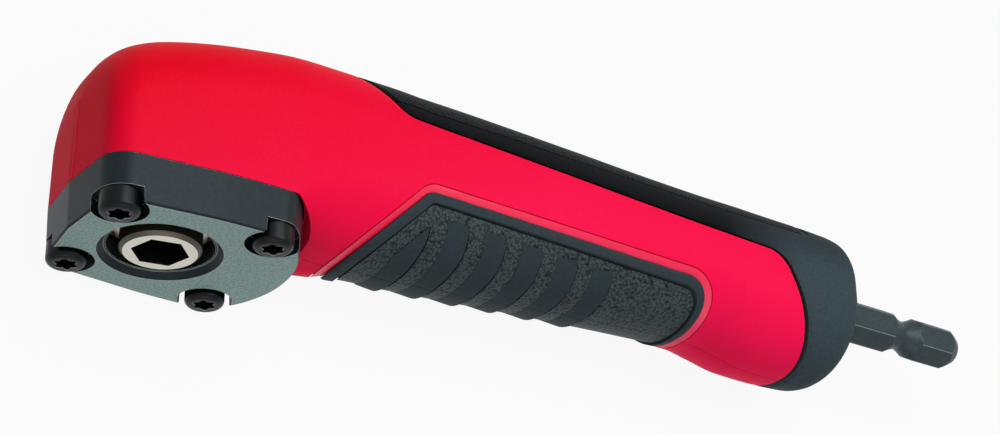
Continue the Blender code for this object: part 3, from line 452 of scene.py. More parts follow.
# Near-black colour for the inside of the hex socket, standing in for the shade in it: painted shade
SOCKET_SHADE = metal_finish("socket_painted_shade", "#010101", "#040404", 0.6, 0.0, 0.05)
DIE_CAST = metal_finish("die_cast_zinc", "#8C8F90", "#A5A8A9", 0.5, 0.9)
BRONZE = metal_finish("sintered_bronze", "#9C7440", "#B98D54", 0.45, 1.0)
NICKEL = metal_finish("nickel_plated_magnet", "#A8A8A2", "#C6C6C0", 0.3, 1.0)


def new_object(name, data):
    """An object that is in the scene."""
    thing = bpy.data.objects.new(name, data)
    bpy.context.scene.collection.objects.link(thing)
    return thing


def mesh_object(name, points, faces, material):
    """A closed mesh from points in the tool's axes, its faces turned outwards."""
    mesh = bpy.data.meshes.new(name)
    mesh.from_pydata([MM * (Vector(point) + FROM_SHANK_END) for point in points], [], faces)
    work = bmesh.new()
    work.from_mesh(mesh)
    bmesh.ops.recalc_face_normals(work, faces=work.faces)
    work.to_mesh(mesh)
    work.free()
    mesh.materials.append(material)
    return new_object(name, mesh)


def lofted(name, rings, material, closed=False):
    """Skin rings of equal length. An open skin gets a flat cap on each end."""
    count = len(rings[0])
    points = [point for ring in rings for point in ring]
    faces = []
    last = len(rings) if closed else len(rings) - 1
    for row in range(last):
        below = row * count
        above = (row + 1) % len(rings) * count
        for k in range(count):
            step = (k + 1) % count
            faces.append((below + k, below + step, above + step, above + k))
    if not closed:
        faces.append(tuple(range(count)))
        faces.append(tuple(range((len(rings) - 1) * count, len(rings) * count)))
    return mesh_object(name, points, faces, material)


def hexagon(flats, limit=1000.0):
    """Radius of a hexagon with a corner at angle 0, no more than limit."""
    sector = math.pi / 3

    def radius(angle):
        turned_by = angle % sector - sector / 2
        return min(flats / 2 / math.cos(turned_by), limit)
    return radius


def six_lobes(size, swing):
    """Radius of a six-lobe recess round its mean size."""
    return lambda angle: size + swing * math.cos(6 * angle)


def axis_point(axis, along, radius, angle, centre):
    """A point at a radius and angle round an axis."""
    u = centre[0] + radius * math.cos(angle)
    v = centre[1] + radius * math.sin(angle)
    return {"x": (along, u, v), "y": (u, along, v), "z": (u, v, along)}[axis]


def turned(name, axis, profile, material, segments, phase=0.0, centre=(0.0, 0.0), hollow=False):
    """Turn a profile of (along, radius) round an axis; a radius may be a shape."""
    rings = []
    turns = [math.tau * k / segments for k in range(segments)]
    for along, radius in profile:
        rings.append([axis_point(axis, along, radius(turn) if callable(radius) else radius,
                                 turn + phase, centre) for turn in turns])
    return lofted(name, rings, material, closed=hollow)


def boolean(target, operation, tool):
    """Cut, join or trim target with tool, apply it and delete the tool."""
    modifier = target.modifiers.new("cut", "BOOLEAN")
    modifier.operation = operation
    modifier.solver = "EXACT"
    modifier.object = tool
    graph = bpy.context.evaluated_depsgraph_get()
    mesh = bpy.data.meshes.new_from_object(target.evaluated_get(graph))
    target.modifiers.remove(modifier)
    old = target.data
    target.data = mesh
    mesh.name = target.name
    bpy.data.meshes.remove(old)
    bpy.data.objects.remove(tool)
    return target


def cut(target, *tools):
    for tool in tools:
        boolean(target, "DIFFERENCE", tool)
    return target


def join(target, *tools):
    for tool in tools:
        boolean(target, "UNION", tool)
    return target


def trim(target, tool):
    return boolean(target, "INTERSECT", tool)


def twin(thing, name):
    """A second copy of a piece with a mesh of its own."""
    return new_object(name, thing.data.copy())


def smooth(thing, angle=30.0):
    thing.data.shade_smooth()
    thing.data.set_sharp_from_angle(angle=math.radians(angle))


def ease_edges(thing, width):
    """Round a piece's sharp edges by a width in millimetres."""
    modifier = thing.modifiers.new("eased", "BEVEL")
    modifier.width = width * MM
    modifier.segments = 3
    modifier.limit_method = "ANGLE"
    modifier.angle_limit = math.radians(40.0)
    modifier.harden_normals = True
    modifier.miter_outer = "MITER_ARC"


def box(name, low, high):
    corners = [(x, y, z) for x in (low[0], high[0]) for y in (low[1], high[1])
               for z in (low[2], high[2])]
    faces = ((0, 1, 3, 2), (4, 6, 7, 5), (0, 4, 5, 1), (2, 3, 7, 6), (0, 2, 6, 4), (1, 5, 7, 3))
    return mesh_object(name, corners, faces, RED)


def rounded_outline(corners, steps=12):
    """A closed outline from corners (u, v, radius), each with its rounding arc."""
    points = []
    count = len(corners)
    for k, (u, v, radius) in enumerate(corners):
        here = Vector((u, v))
        if radius == 0:
            points.append(here)
            continue
        before = (Vector(corners[k - 1][:2]) - here).normalized()
        after = (Vector(corners[(k + 1) % count][:2]) - here).normalized()
        half = before.angle(after) / 2
        reach = radius / math.tan(half)
        centre = here + (before + after).normalized() * radius / math.sin(half)
        start = here + before * reach - centre
        turn = math.pi - 2 * half
        if start.cross(here + after * reach - centre) < 0:
            turn = -turn
        for step in range(steps + 1):
            points.append(centre + Matrix.Rotation(turn * step / steps, 2) @ start)
    return points


def offset_corners(corners, grow):
    """Move every side of an outline outwards by grow."""
    count = len(corners)
    area = sum(corners[k - 1][0] * corners[k][1] - corners[k][0] * corners[k - 1][1] for k in range(count))
    spin = 1 if area > 0 else -1
    moved = []
    for k, (u, v, radius) in enumerate(corners):
        here = Vector((u, v))
        came = (here - Vector(corners[k - 1][:2])).normalized()
        goes = (Vector(corners[(k + 1) % count][:2]) - here).normalized()
        first = spin * Vector((came.y, -came.x))
        second = spin * Vector((goes.y, -goes.x))
        shift = grow * (first + second) / (1 + first.dot(second))
        bend = 1 if spin * came.cross(goes) > 0 else -1
        rounding = max(radius + bend * grow, 0.2) if radius else 0
        moved.append((u + shift.x, v + shift.y, rounding))
    return moved


def side_prism(name, outline, material):
    """A side view's outline as a solid right across the tool."""
    rings = [[(u, v, z) for u, v in outline] for z in (-OUTSIDE, OUTSIDE)]
    return lofted(name, rings, material)


def plan_prism(name, outline, low, high):
    """A top view's outline as a solid between two heights."""
    return lofted(name, [[(u, y, v) for u, v in outline] for y in (low, high)], RED)


def plate_outline(grow=0.0, corner=REAR_CORNER):
    """The cover plate seen along the spindle, near side first."""
    centre = Vector((REAR_ARC_X, 0.0))
    radius = REAR_ARC + grow
    half = HEAD_HALF_WIDTH + grow
    swing = math.asin(half / radius)
    rear_x = REAR_ARC_X + radius * math.cos(swing)
    rounding = corner + grow if corner else 0
    front_x, front_z, front_radius = FRONT_CORNER
    bend_x, bend_inset, bend_radius = SIDE_BEND
    near = ((NOSE_X - grow, 0.0, NOSE_ROUNDING), (front_x - grow, front_z + grow, front_radius + grow),
            (bend_x, half - bend_inset, bend_radius), (rear_x, half, rounding))
    arc = [centre + radius * Vector((math.cos(a), math.sin(a)))
           for a in np.linspace(swing, -swing, 41)[3:-3]]
    rear = tuple((point.x, point.y, 0) for point in arc)
    far = tuple((x, -z, rounding) for x, z, rounding in near[:0:-1])
    return rounded_outline(near + rear + far)


HEAD_EDGE = sorted((point.x, point.y) for point in plate_outline(corner=0.0)
                   if point.y >= 0 and point.x < HEAD_REAR)
TABLE = np.array(STATIONS)


def station_slopes(table):
    """Slopes that keep each column of the table free of overshoot."""
    steps = np.diff(table[:, 0])[:, None]
    secants = np.diff(table[:, 1:], axis=0) / steps
    slopes = np.zeros_like(table[:, 1:])
    both = secants[:-1] * secants[1:]
    mean = 2 * both / np.where(secants[:-1] + secants[1:] == 0, 1, secants[:-1] + secants[1:])
    slopes[1:-1] = np.where(both > 0, mean, 0)
    slopes[0], slopes[-1] = secants[0], secants[-1]
    return slopes


SLOPES = station_slopes(TABLE)


def housing_profile(x):
    """Top, belly, half width, crown and keel radius of the housing at x."""
    row = int(np.clip(np.searchsorted(TABLE[:, 0], x) - 1, 0, len(TABLE) - 2))
    width = TABLE[row + 1, 0] - TABLE[row, 0]
    t = min(max((x - TABLE[row, 0]) / width, 0.0), 1.0)
    start, end = TABLE[row, 1:], TABLE[row + 1, 1:]
    value = (start * (1 + 2 * t) * (1 - t) ** 2 + SLOPES[row] * width * t * (1 - t) ** 2
             + end * (3 - 2 * t) * t ** 2 - SLOPES[row + 1] * width * (1 - t) * t ** 2)
    top, belly, half, crown, keel = value
    if x < HEAD_REAR:
        half = float(np.interp(x, *zip(*HEAD_EDGE)))
    return top, belly, half, min(crown, half), min(keel, half)


def housing_ring(x, inset, arc, flat):
    """One section of the housing: arc steps round each corner, flat steps between."""
    span = CAP_END - NOSE_X
    shrink = max(inset, 0.0)
    here = NOSE_X + shrink + (x - NOSE_X) * (span - 2 * shrink) / span
    top, belly, half, crown, keel = housing_profile(x)
    top, belly = top - inset, belly - inset
    half = max(half - inset, LEAST_HALF)
    crown, keel = (min(max(radius - inset, LEAST_RADIUS), half - LEAST_FLAT) for radius in (crown, keel))
    corners = []
    for sign_z, sign_y in ((1, 1), (-1, 1), (-1, -1), (1, -1)):
        radius, height = (crown, top) if sign_y > 0 else (keel, belly)
        angles = np.linspace(0, math.pi / 2, arc + 1)
        if sign_z != sign_y:
            angles = angles[::-1]
        z = half - radius + radius * np.cos(angles)
        y = height - radius + radius * np.sin(angles)
        corners.append(np.stack([np.full(arc + 1, here), sign_y * y, sign_z * z], axis=1))
    ring = []
    for k, corner in enumerate(corners):
        ring.append(corner)
        after = corners[(k + 1) % 4][0]
        shares = np.linspace(0, 1, flat + 1)[1:-1, None]
        ring.append(corner[-1] * (1 - shares) + after * shares)
    return np.concatenate(ring)


def housing_places(step):
    """Places of the loft's rings: closer at the nose and at the cap's rim."""
    nose = NOSE_X + 0.02 + NOSE_ZONE * np.linspace(0, 1, 26) ** 2
    body = np.arange(nose[-1] + step, CAP_END - RIM_ZONE, step)
    rim = CAP_END - RIM_ZONE * np.linspace(1, 0, 20) ** 1.6
    return np.concatenate([nose, body, rim])


def outline_distance(points, corners):
    """Distance of side-view points from an outline, negative inside it."""
    loop = np.array([tuple(p) for p in rounded_outline(corners)])
    start, end = loop, np.roll(loop, -1, axis=0)
    best = np.full(len(points), np.inf)
    inside = np.zeros(len(points), bool)
    for a, b in zip(start, end):
        edge = b - a
        share = np.clip(((points - a) @ edge) / max(edge @ edge, 1e-12), 0, 1)
        best = np.minimum(best, np.linalg.norm(points - a - share[:, None] * edge, axis=1))
        crosses = (a[1] > points[:, 1]) != (b[1] > points[:, 1])
        rise = b[1] - a[1] if b[1] != a[1] else 1e-12
        inside ^= crosses & (points[:, 0] < (b[0] - a[0]) * (points[:, 1] - a[1]) / rise + a[0])
    return np.where(inside, -best, best)


def housing_loft(name, inset, material, step=2.0, arc=6, flat=2, end=None, rise=None):
    """The housing's outer form as a solid; rise gives each point a small height."""
    depth = inset if callable(inset) else (lambda x: inset)
    places = housing_places(step)
    if end is not None:
        places = np.append(places[places < end], end)
    rings = np.array([housing_ring(x, depth(x), arc, flat) for x in places])
    if rise is not None:
        along = np.gradient(rings, axis=0)
        around = np.roll(rings, -1, axis=1) - np.roll(rings, 1, axis=1)
        normal = np.cross(along, around)
        normal /= np.maximum(np.linalg.norm(normal, axis=2, keepdims=True), 1e-9)
        middle = rings.mean(axis=1, keepdims=True)
        outward = np.sign(((rings - middle) * normal).sum(axis=2, keepdims=True))
        height = rise(rings.reshape(-1, 3)).reshape(rings.shape[:2])
        rings = rings + normal * outward * height[:, :, None]
    return lofted(name, [[tuple(p) for p in ring] for ring in rings], material)


def smooth_step(value, low, high):
    t = np.clip((value - low) / (high - low), 0, 1)
    return t * t * (3 - 2 * t)


def cavity_wall(x):
    """Wall of the housing: thin round the head, thick along the handle."""
    blend = min(max((x - WALL_BLEND_START) / WALL_BLEND, 0.0), 1.0)
    return HEAD_WALL + (HANDLE_WALL - HEAD_WALL) * blend


def half_space(side):
    low, high = (SEAM, OUTSIDE) if side > 0 else (-OUTSIDE, -SEAM)
    return box("half", (-WIDE, -WIDE, low), (4 * WIDE, WIDE, high))


def split(form, name):
    """Cut a form on the seam into its near and its far half."""
    far = twin(form, name + "_far")
    trim(far, half_space(-1))
    form.name = name + "_near"
    return trim(form, half_space(1)), far


def region(name, corners, grow=0.0):
    """All that an outline encloses in the side view, as a solid."""
    return side_prism(name, rounded_outline(offset_corners(corners, grow)), RUBBER)


# Steps of the outer forms: along the tool, round a corner and across a flat, then the pad's own
FINE = 0.4
ARC = 44
FLAT = 12
PAD_FINE = 0.3
PAD_ARC = 50
PAD_FLAT = 6


def strip_lip(points):
    """The nylon rolls down a little at the back grip's edge."""
    strip = outline_distance(points[:, :2], STRIP_CORNERS)
    return -STRIP_LIP * (1 - smooth_step(strip, 0.0, STRIP_LIP_WIDTH))


def bead_slope(points):
    """The bead falls evenly from the housing's surface to the pad."""
    outwards = outline_distance(points[:, :2], PAD_CORNERS) / LIP
    return LIP_FALL * np.clip(outwards - 1, -LIP_FALL_LIMIT, 0)


def make_pad_beads():
    """Bevelled bead of nylon that frames the pad on each half."""
    bead = housing_loft("pad_bead_form", 0.0, RED_LIP, FINE, ARC, FLAT, rise=bead_slope)
    trim(bead, region("bead_outside", PAD_CORNERS, LIP - CREASE))
    cut(bead, region("bead_inside", PAD_CORNERS, FIT), housing_loft("bead_core", LIP_DEPTH, RED_LIP))
    for piece in split(bead, "pad_bead"):
        smooth(piece)
        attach(piece, "housing")


def rear_core():
    """Room for the rear bush with its flange, and the shaft's hole behind it."""
    ledge = REAR_BUSH_START + REAR_FLANGE + FIT
    bush_end = REAR_BUSH_START + REAR_BUSH_LENGTH + FIT
    flange = REAR_BUSH_RADIUS + FLANGE_RIM
    hole = REAR_JOURNAL + REAR_HOLE_GAP
    profile = ((REAR_BUSH_START - PAST_END, flange), (ledge, flange), (ledge, REAR_BUSH_RADIUS),
               (bush_end, REAR_BUSH_RADIUS), (bush_end, hole), (CAP_END + PAST_END, hole))
    return turned("rear_core", "x", profile, RED, 40)


def housing_hollow():
    """Everything that is cut out of the nylon form, as one solid."""
    hollow = housing_loft("cavity", cavity_wall, RED, end=REAR_BUSH_START)
    inner = REAR_ARC - SKIRT_WALL
    outer = REAR_ARC + COLLAR_FLARE + 2 * COLLAR_WALL
    roof = -HOUSING_EDGE + COLLAR_WALL
    wall = ((roof, inner), (roof, outer), (-WIDE, outer), (-WIDE, inner))
    cut(hollow, turned("collar_wall", "y", wall, RED, 120, centre=(REAR_ARC_X, 0.0), hollow=True))
    skirt = housing_loft("skirt", SKIRT_WALL, RED, end=SKIRT_END)
    slab = plan_prism("skirt_slab", plate_outline(-SKIRT_WALL), -HOUSING_EDGE - 1, -SKIRT_TOP)
    join(hollow, trim(skirt, slab))
    boss_trim = housing_loft("boss_trim", GRIP_DEPTH + FIT + BOSS_SKIN, RED)
    for place in SHELL_SCREWS.values():
        profile = ((-BOSS_REACH, BOSS_RADIUS), (BOSS_REACH, BOSS_RADIUS))
        boss = turned("boss", "z", profile, RED, 32, centre=place)
        cut(hollow, trim(boss, twin(boss_trim, "boss_limit")))
    bpy.data.objects.remove(boss_trim)
    foot = -HOUSING_EDGE - COLLAR_DEPTH
    room = ((-HOUSING_EDGE, COLLAR_CORE), (-HOUSING_EDGE, REAR_ARC + FIT + COLLAR_GAP),
            (foot, REAR_ARC + COLLAR_FLARE + COLLAR_FOOT_GAP), (foot, COLLAR_CORE))
    collar = turned("collar", "y", room, RED, 160, centre=(REAR_ARC_X, 0.0), hollow=True)
    trim(collar, box("collar_trim", *COLLAR_BOX))
    plate_room = plan_prism("plate_room", plate_outline(FIT + 0.1), -OUTSIDE, -HOUSING_EDGE)
    return join(hollow, rear_core(), plate_room, collar)


def make_housing():
    """Both housing halves, cut from one moulded form."""
    shell = housing_loft("housing_form", 0.0, RED, FINE, ARC, FLAT, rise=strip_lip)
    for name, corners, grow, depth in (("strip", STRIP_CORNERS, FIT, GRIP_DEPTH + FIT),
                                       ("pad", PAD_CORNERS, FIT, GRIP_DEPTH + FIT),
                                       ("bead", PAD_CORNERS, LIP, LIP_DEPTH)):
        room = region(name + "_cut", corners, grow)
        cut(shell, cut(room, housing_loft(name + "_core", depth, RED)))
    cut(shell, housing_hollow())
    near, far = split(shell, "housing_shell")
    seat = -SHELL_SEAT - FIT
    wide = SHELL_HEAD_RADIUS + FIT + SHELL_HEAD_GAP
    narrow = SHELL_SCREW_RADIUS + FIT
    bore = ((-SHELL_BORE[0], wide), (seat, wide), (seat, narrow), (SHELL_BORE[1], narrow))
    for place in SHELL_SCREWS.values():
        cut(far, turned("screw_bore", "z", bore, RED, 40, centre=place))
    for piece, node in ((near, "housing_near_half"), (far, "housing_far_half")):
        smooth(piece)
        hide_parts(node)
        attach(piece, "housing")


def grip_height(points):
    """The back grip rolls down at its edge, and a nick is pressed in behind its band."""
    strip = outline_distance(points[:, :2], GRIP_CORNERS)
    x, y = points[:, 0], points[:, 1]
    starts = smooth_step(x, NICK[0] - NICK_EDGE, NICK[0] + NICK_EDGE)
    ends = smooth_step(x, NICK[1] - NICK_EDGE, NICK[1] + NICK_EDGE)
    nick = starts * (1 - ends) * smooth_step(y, BAND_EDGE + NICK_FADE[0], BAND_EDGE + NICK_FADE[1])
    return -GRIP_ROLL * smooth_step(strip, -GRIP_ROLL_WIDTH, -REVEAL) - NICK_DEPTH * nick


def band_groove():
    """Fine groove along the edge of the textured band and across its end."""
    low, high = BAND_EDGE - BAND_LINE / 2, BAND_EDGE + BAND_LINE / 2
    inner_end = BAND_END - BAND_LINE
    outline = ((BAND_START, low), (BAND_END, low), (BAND_END, BAND_TOP),
               (inner_end, BAND_TOP), (inner_end, high), (BAND_START, high))
    return side_prism("band_groove", outline, BACK_RUBBER)


def make_back_grips():
    """Rubber over the back and the shank end."""
    grip = housing_loft("back_grip_form", 0.0, BACK_RUBBER, FINE, ARC, FLAT, rise=grip_height)
    trim(grip, region("strip", GRIP_CORNERS, -REVEAL))
    cut(grip, cut(band_groove(), housing_loft("band_core", BAND_LINE_DEPTH, BACK_RUBBER)))
    foot = housing_loft("back_grip_foot", GRIP_DEPTH - FOOT, BACK_RUBBER)
    join(grip, trim(foot, region("strip_foot", STRIP_CORNERS)))
    cut(grip, housing_loft("core", GRIP_DEPTH, RUBBER))
    hole = REAR_JOURNAL + CAP_HOLE_GAP
    profile = ((CAP_HOLE_START, hole), (CAP_END + PAST_END, hole))
    cut(grip, turned("shank_hole", "x", profile, RUBBER, 48))
    paint_strip(grip)
    near, far = split(grip, "back_grip_rubber")
    for piece, node in ((near, "back_grip_near"), (far, "back_grip_far")):
        smooth(piece)
        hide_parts(node)
        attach(piece, "housing")


def paint_strip(grip):
    """The band along the spine of the strip is textured."""
    grip.data.materials.append(BAND_RUBBER)
    textured = len(grip.data.materials) - 1
    for face in grip.data.polygons:
        place = face.center / MM - FROM_SHANK_END
        if place.y > BAND_EDGE and place.x < BAND_END:
            face.material_index = textured


def border_height(points):
    """The pad's edge is rounded down to the bead."""
    inside = -outline_distance(points[:, :2], PAD_CORNERS)
    return -PAD_ROLL * (1 - smooth_step(inside, 0.0, PAD_ROLL_WIDTH))


def rib_shift(drop):
    """How far a rib leans back at a depth under its top."""
    drops = [point[0] for point in RIB_CURVE][::-1]
    shifts = [point[1] for point in RIB_CURVE][::-1]
    return np.interp(drop, drops, shifts)


def crest_height(points):
    """Ribs rise towards their steep rear edges and sink a little under the belly."""
    across = points[:, 0] - (RIB_FIRST - RIB_WIDTH) - rib_shift(points[:, 1] - RIB_TOP)
    index = np.clip(np.round((across - RIB_WIDTH / 2) / RIB_PITCH), 0, RIB_COUNT - 1)
    slope = CREST_START + CREST_GAIN * np.clip((across - index * RIB_PITCH) / RIB_WIDTH, 0, 1)
    flank = BELLY_SHARE + FLANK_GAIN * smooth_step(abs(points[:, 2]), *BELLY_FADE)
    return -FIELD_DROP + (FIELD_DROP + RIB_RISE) * slope * flank


def rib_rear(index):
    """A rib's steep rear edge in the side view, from its top down."""
    return [(RIB_FIRST + RIB_PITCH * index + rib_shift(drop), RIB_TOP + drop)
            for drop in np.linspace(0, -RIB_LENGTH, RIB_STEPS)]


def rib_prisms():
    """The ribs' side views as solids across the pad."""
    prisms = []
    for index in range(RIB_COUNT):
        rear = rib_rear(index)
        front = [(x - RIB_WIDTH, y) for x, y in reversed(rear)]
        prism = side_prism("rib_%d" % index, front + rear, RUBBER)
        setback = BORDER + RIB_SETBACK if index else FIRST_RIB_SET
        prisms.append(trim(prism, region("rib_limit", PAD_CORNERS, -setback)))
    return join(prisms[0], *prisms[1:])


def rib_grooves():
    """Narrow grooves behind the steep edge and over the top of each rib."""
    grooves = []
    top = RIB_TOP + LINE_WIDTH / 2
    for index in range(RIB_COUNT):
        rear = rib_rear(index)
        behind = [(x + RIB_GROOVE, y) for x, y in reversed(rear)]
        left = RIB_FIRST + RIB_PITCH * index - RIB_LINE_SHARE * RIB_WIDTH
        over = [(rear[0][0] + RIB_GROOVE, top), (left, top), (left, RIB_TOP)]
        groove = side_prism("rib_groove_%d" % index, rear + behind + over, RUBBER)
        if index == 0:
            trim(groove, region("groove_limit", PAD_CORNERS, -FIRST_RIB_SET))
        grooves.append(groove)
    return join(grooves[0], *grooves[1:])


def pad_form(name, height_at):
    """The pad's part of the housing's form, its outer face raised by height_at."""
    places = np.arange(PAD_CORNERS[0][0] + PAD_MARGIN, PAD_CORNERS[3][0] + PAD_MARGIN, PAD_FINE)
    outer = np.array([housing_ring(x, 0.0, PAD_ARC, PAD_FLAT) for x in places])
    inner = np.array([housing_ring(x, GRIP_DEPTH, PAD_ARC, PAD_FLAT) for x in places])
    inner[:, :, 0] = outer[:, :, 0]
    lower = np.flatnonzero(outer[len(places) // 2][:, 1] < PAD_LIMIT)
    outer, inner = outer[:, lower], inner[:, lower]
    along = np.gradient(outer, axis=0)
    around = np.gradient(outer, axis=1)
    normal = np.cross(along, around)
    normal /= np.linalg.norm(normal, axis=2, keepdims=True)
    outward = np.sign((normal * (outer * (0, 1, 1))).sum(axis=2, keepdims=True))
    height = height_at(outer.reshape(-1, 3)).reshape(outer.shape[:2])
    outer = outer + normal * outward * height[:, :, None]
    rings = [[tuple(p) for p in np.concatenate([top, base[::-1]])]
             for top, base in zip(outer, inner[:, ::INNER_STRIDE])]
    return lofted(name, rings, RUBBER)


def make_grip_pads():
    """Rubber pads: smooth border and ribs, pebbled field behind a fine groove."""
    pad = trim(pad_form("grip_pad_form", border_height), region("pad", PAD_CORNERS))
    field = region("field", PAD_CORNERS, -BORDER)
    line = cut(twin(field, "field_line"), region("line_inside", PAD_CORNERS, -BORDER - LINE_WIDTH))
    cut(pad, cut(field, housing_loft("field_floor", FIELD_DROP, RUBBER, 1.0, 24, 6)))
    cut(pad, cut(line, housing_loft("line_floor", LINE_DEPTH, RUBBER)))
    cut(pad, cut(rib_grooves(), housing_loft("groove_floor", LINE_DEPTH, RUBBER)))
    pad.data.materials.append(PEBBLES)
    centres = np.array([tuple(face.center) for face in pad.data.polygons]) / MM - np.array(FROM_SHANK_END)
    inside = -outline_distance(centres[:, :2], PAD_CORNERS)
    pebbled = (inside > BORDER + LINE_WIDTH).astype(int)
    pad.data.polygons.foreach_set("material_index", pebbled)
    join(pad, trim(pad_form("rib_form", crest_height), rib_prisms()))
    near, far = split(pad, "grip_pad_rubber")
    for piece, node in ((near, "grip_pad_near"), (far, "grip_pad_far")):
        smooth(piece, 45.0)
        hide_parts(node)
        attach(piece, "housing")


def make_cover_plate():
    """Phosphated steel plate with eased edges; every face but the outer one gets a darker colour, painted
    shade.
    """
    rings = [[(u, y, v) for u, v in plate_outline(grow)]
             for y, grow in ((-PLATE_TOP, 0.0), *((-OUTPUT_FACE + up, grow) for up, grow in PLATE_RIM))]
    plate = lofted("cover_plate_steel", rings, PLATE_FACE)
    bearing = -OUTPUT_BOTTOM - FIT
    bore = ((0.0, BEARING_BORE), (bearing, BEARING_BORE), (bearing, SPINDLE_WINDOW),
            *((-OUTPUT_FACE + up, radius) for up, radius in WINDOW_FLARE))
    cut(plate, turned("bore", "y", bore, PLATE_FACE, 128))
    seat = OUTPUT_FACE + SCREW_PROUD - SCREW_HEAD - FIT
    hole = ((-SCREW_HOLE_TOP, SCREW_RADIUS + FIT), (-seat, SCREW_RADIUS + FIT), (-seat, POCKET_RADIUS),
            (-OUTSIDE, POCKET_RADIUS))
    for place in COVER_SCREWS.values():
        cut(plate, turned("pocket", "y", hole, PLATE_FACE, 64, centre=place))
    plate.data.materials.append(SHADED_PLATE_SIDE)
    plate.data.materials.append(WORN_EDGE)
    # Painted shade: all faces but the outer face take the darker side colour
    for face in plate.data.polygons:
        outer_face = face.normal.y < -OUTER_FACE_TILT and face.center.y < -OUTER_FACE_LEVEL * MM
        face.material_index = 0 if outer_face else 1
    smooth(plate)
    ease_edges(plate, PLATE_EASE)
    plate.modifiers["eased"].material = 2
    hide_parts("cover_plate")
    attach(plate, "housing")


def recess(top, steps):
    """Profile of a six-lobe recess, from its bottom up to the head's top."""
    return [(-top + depth, six_lobes(size, swing)) for depth, size, swing in steps]


def make_screws():
    """Cap screws in the plate and pan heads in the far flank, with six-lobe recesses."""
    top = OUTPUT_FACE + SCREW_PROUD
    under = top - SCREW_HEAD
    tip = SCREW_LENGTH - under
    bulge = SCREW_HEAD_RADIUS - CROWN_FLAT
    crown = [(-top + CROWN_HEIGHT * (1 - math.cos(a)), CROWN_FLAT + bulge * math.sin(a))
             for a in np.linspace(0, math.pi / 2, 9)]
    profile = (*recess(top, COVER_RECESS), *crown, (-under, SCREW_HEAD_RADIUS), (-under, SCREW_RADIUS),
               (tip - SCREW_CHAMFER, SCREW_RADIUS), (tip, SCREW_RADIUS - SCREW_CHAMFER))
    for name, place in COVER_SCREWS.items():
        screw = turned(name + "_steel", "y", profile, BLACK_OXIDE, SCREW_SEGMENTS, centre=place)
        screw.data.materials.append(WORN_SHANK)
        for face in screw.data.polygons[2 * SCREW_SEGMENTS:3 * SCREW_SEGMENTS]:
            face.material_index = 1
        finish_screw(screw, name)
    top = SHELL_SEAT + 2 * FIT + SHELL_HEAD
    seat = -SHELL_SEAT - 2 * FIT
    rim = [(-top + depth, SHELL_HEAD_RADIUS - inset) for depth, inset in SHELL_CROWN]
    profile = (*recess(top, SHELL_RECESS), *rim, (seat, SHELL_HEAD_RADIUS), (seat, SHELL_SCREW_RADIUS),
               (SHELL_SCREW_REACH - SHELL_CHAMFER, SHELL_SCREW_RADIUS),
               (SHELL_SCREW_REACH, SHELL_SCREW_RADIUS - SHELL_CHAMFER))
    for name, place in SHELL_SCREWS.items():
        screw = turned(name + "_steel", "z", profile, BLACK_OXIDE, SCREW_SEGMENTS, centre=place)
        finish_screw(screw, name)


def finish_screw(screw, node):
    smooth(screw)
    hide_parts(node)
    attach(screw, "housing")


def make_spindle():
    """Ground spindle with the hex socket, whose inside is coloured near black as painted shade."""
    magnet_depth, magnet_room = MAGNET_ROOM
    socket_end = -OUTPUT_FACE + SOCKET_DEPTH
    behind_nose = -OUTPUT_BOTTOM - FIT
    profile = ((socket_end + magnet_depth, magnet_room), (socket_end, magnet_room),
               (socket_end, hexagon(SOCKET_FLATS)),
               (-OUTPUT_FACE + SOCKET_CHAMFER, hexagon(SOCKET_FLATS)), (-OUTPUT_FACE, hexagon(SOCKET_MOUTH)),
               *((-OUTPUT_FACE + up, NOSE_RADIUS - inset) for up, inset in NOSE_EDGE),
               (behind_nose, NOSE_RADIUS), (behind_nose, SPINDLE_SEAT), *SPINDLE_STEPS)
    spindle = turned("output_spindle_steel", "y", profile, SPINDLE_FLANK, ROUND_SEGMENTS, SOCKET_PHASE)
    spindle.data.materials.append(SPINDLE_FACE)
    spindle.data.materials.append(SOCKET_SHADE)
    for face in spindle.data.polygons:
        place = face.center / MM - FROM_SHANK_END
        if place.y < -OUTPUT_FACE + 0.02:
            face.material_index = 1
        # Painted shade: faces inside the socket take the near-black colour
        elif place.y < socket_end + 2 and math.hypot(place.x, place.z) < SOCKET_MOUTH * 0.6:
            face.material_index = 2
    smooth(spindle)
    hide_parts("output_spindle")
    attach(spindle, "output")


def make_shaft():
    """Hardened shaft with its grooved hex shank."""
    shank = [(SHANK_START, REAR_JOURNAL - JOURNAL_CHAMFER), (SHANK_START, hexagon(HEX_FLATS, HEX_CORNER))]
    for share in np.linspace(-1, 1, 33):
        limit = GROOVE_RADIUS + (HEX_CORNER - GROOVE_RADIUS) * abs(share) ** 1.5
        shank.append((GROOVE_CENTRE + share * GROOVE_WIDTH / 2, hexagon(HEX_FLATS, limit)))
    for share in np.linspace(0, 1, 13):
        limit = HEX_CORNER + (SHANK_END_RADIUS - HEX_CORNER) * share ** 1.2
        shank.append((SHANK_TIP - SHANK_CHAMFER * (1 - share), hexagon(HEX_FLATS, limit)))
    profile = [*SHAFT_STEPS, *shank]
    shaft = turned("input_shaft_steel", "x", profile, DARK_STEEL, ROUND_SEGMENTS, SHANK_PHASE)
    shaft.data.materials.append(WORN_SHANK)
    for face in shaft.data.polygons[(len(SHAFT_STEPS) + 1) * ROUND_SEGMENTS:-2]:
        place = face.center / MM - FROM_SHANK_END
        corner = face.index % (ROUND_SEGMENTS // 6) == 0
        if corner and math.hypot(place.y, place.z) > HEX_CORNER - WORN_DEPTH:
            face.material_index = 1
    smooth(shaft)
    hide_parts("input_shaft")
    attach(shaft, "input")


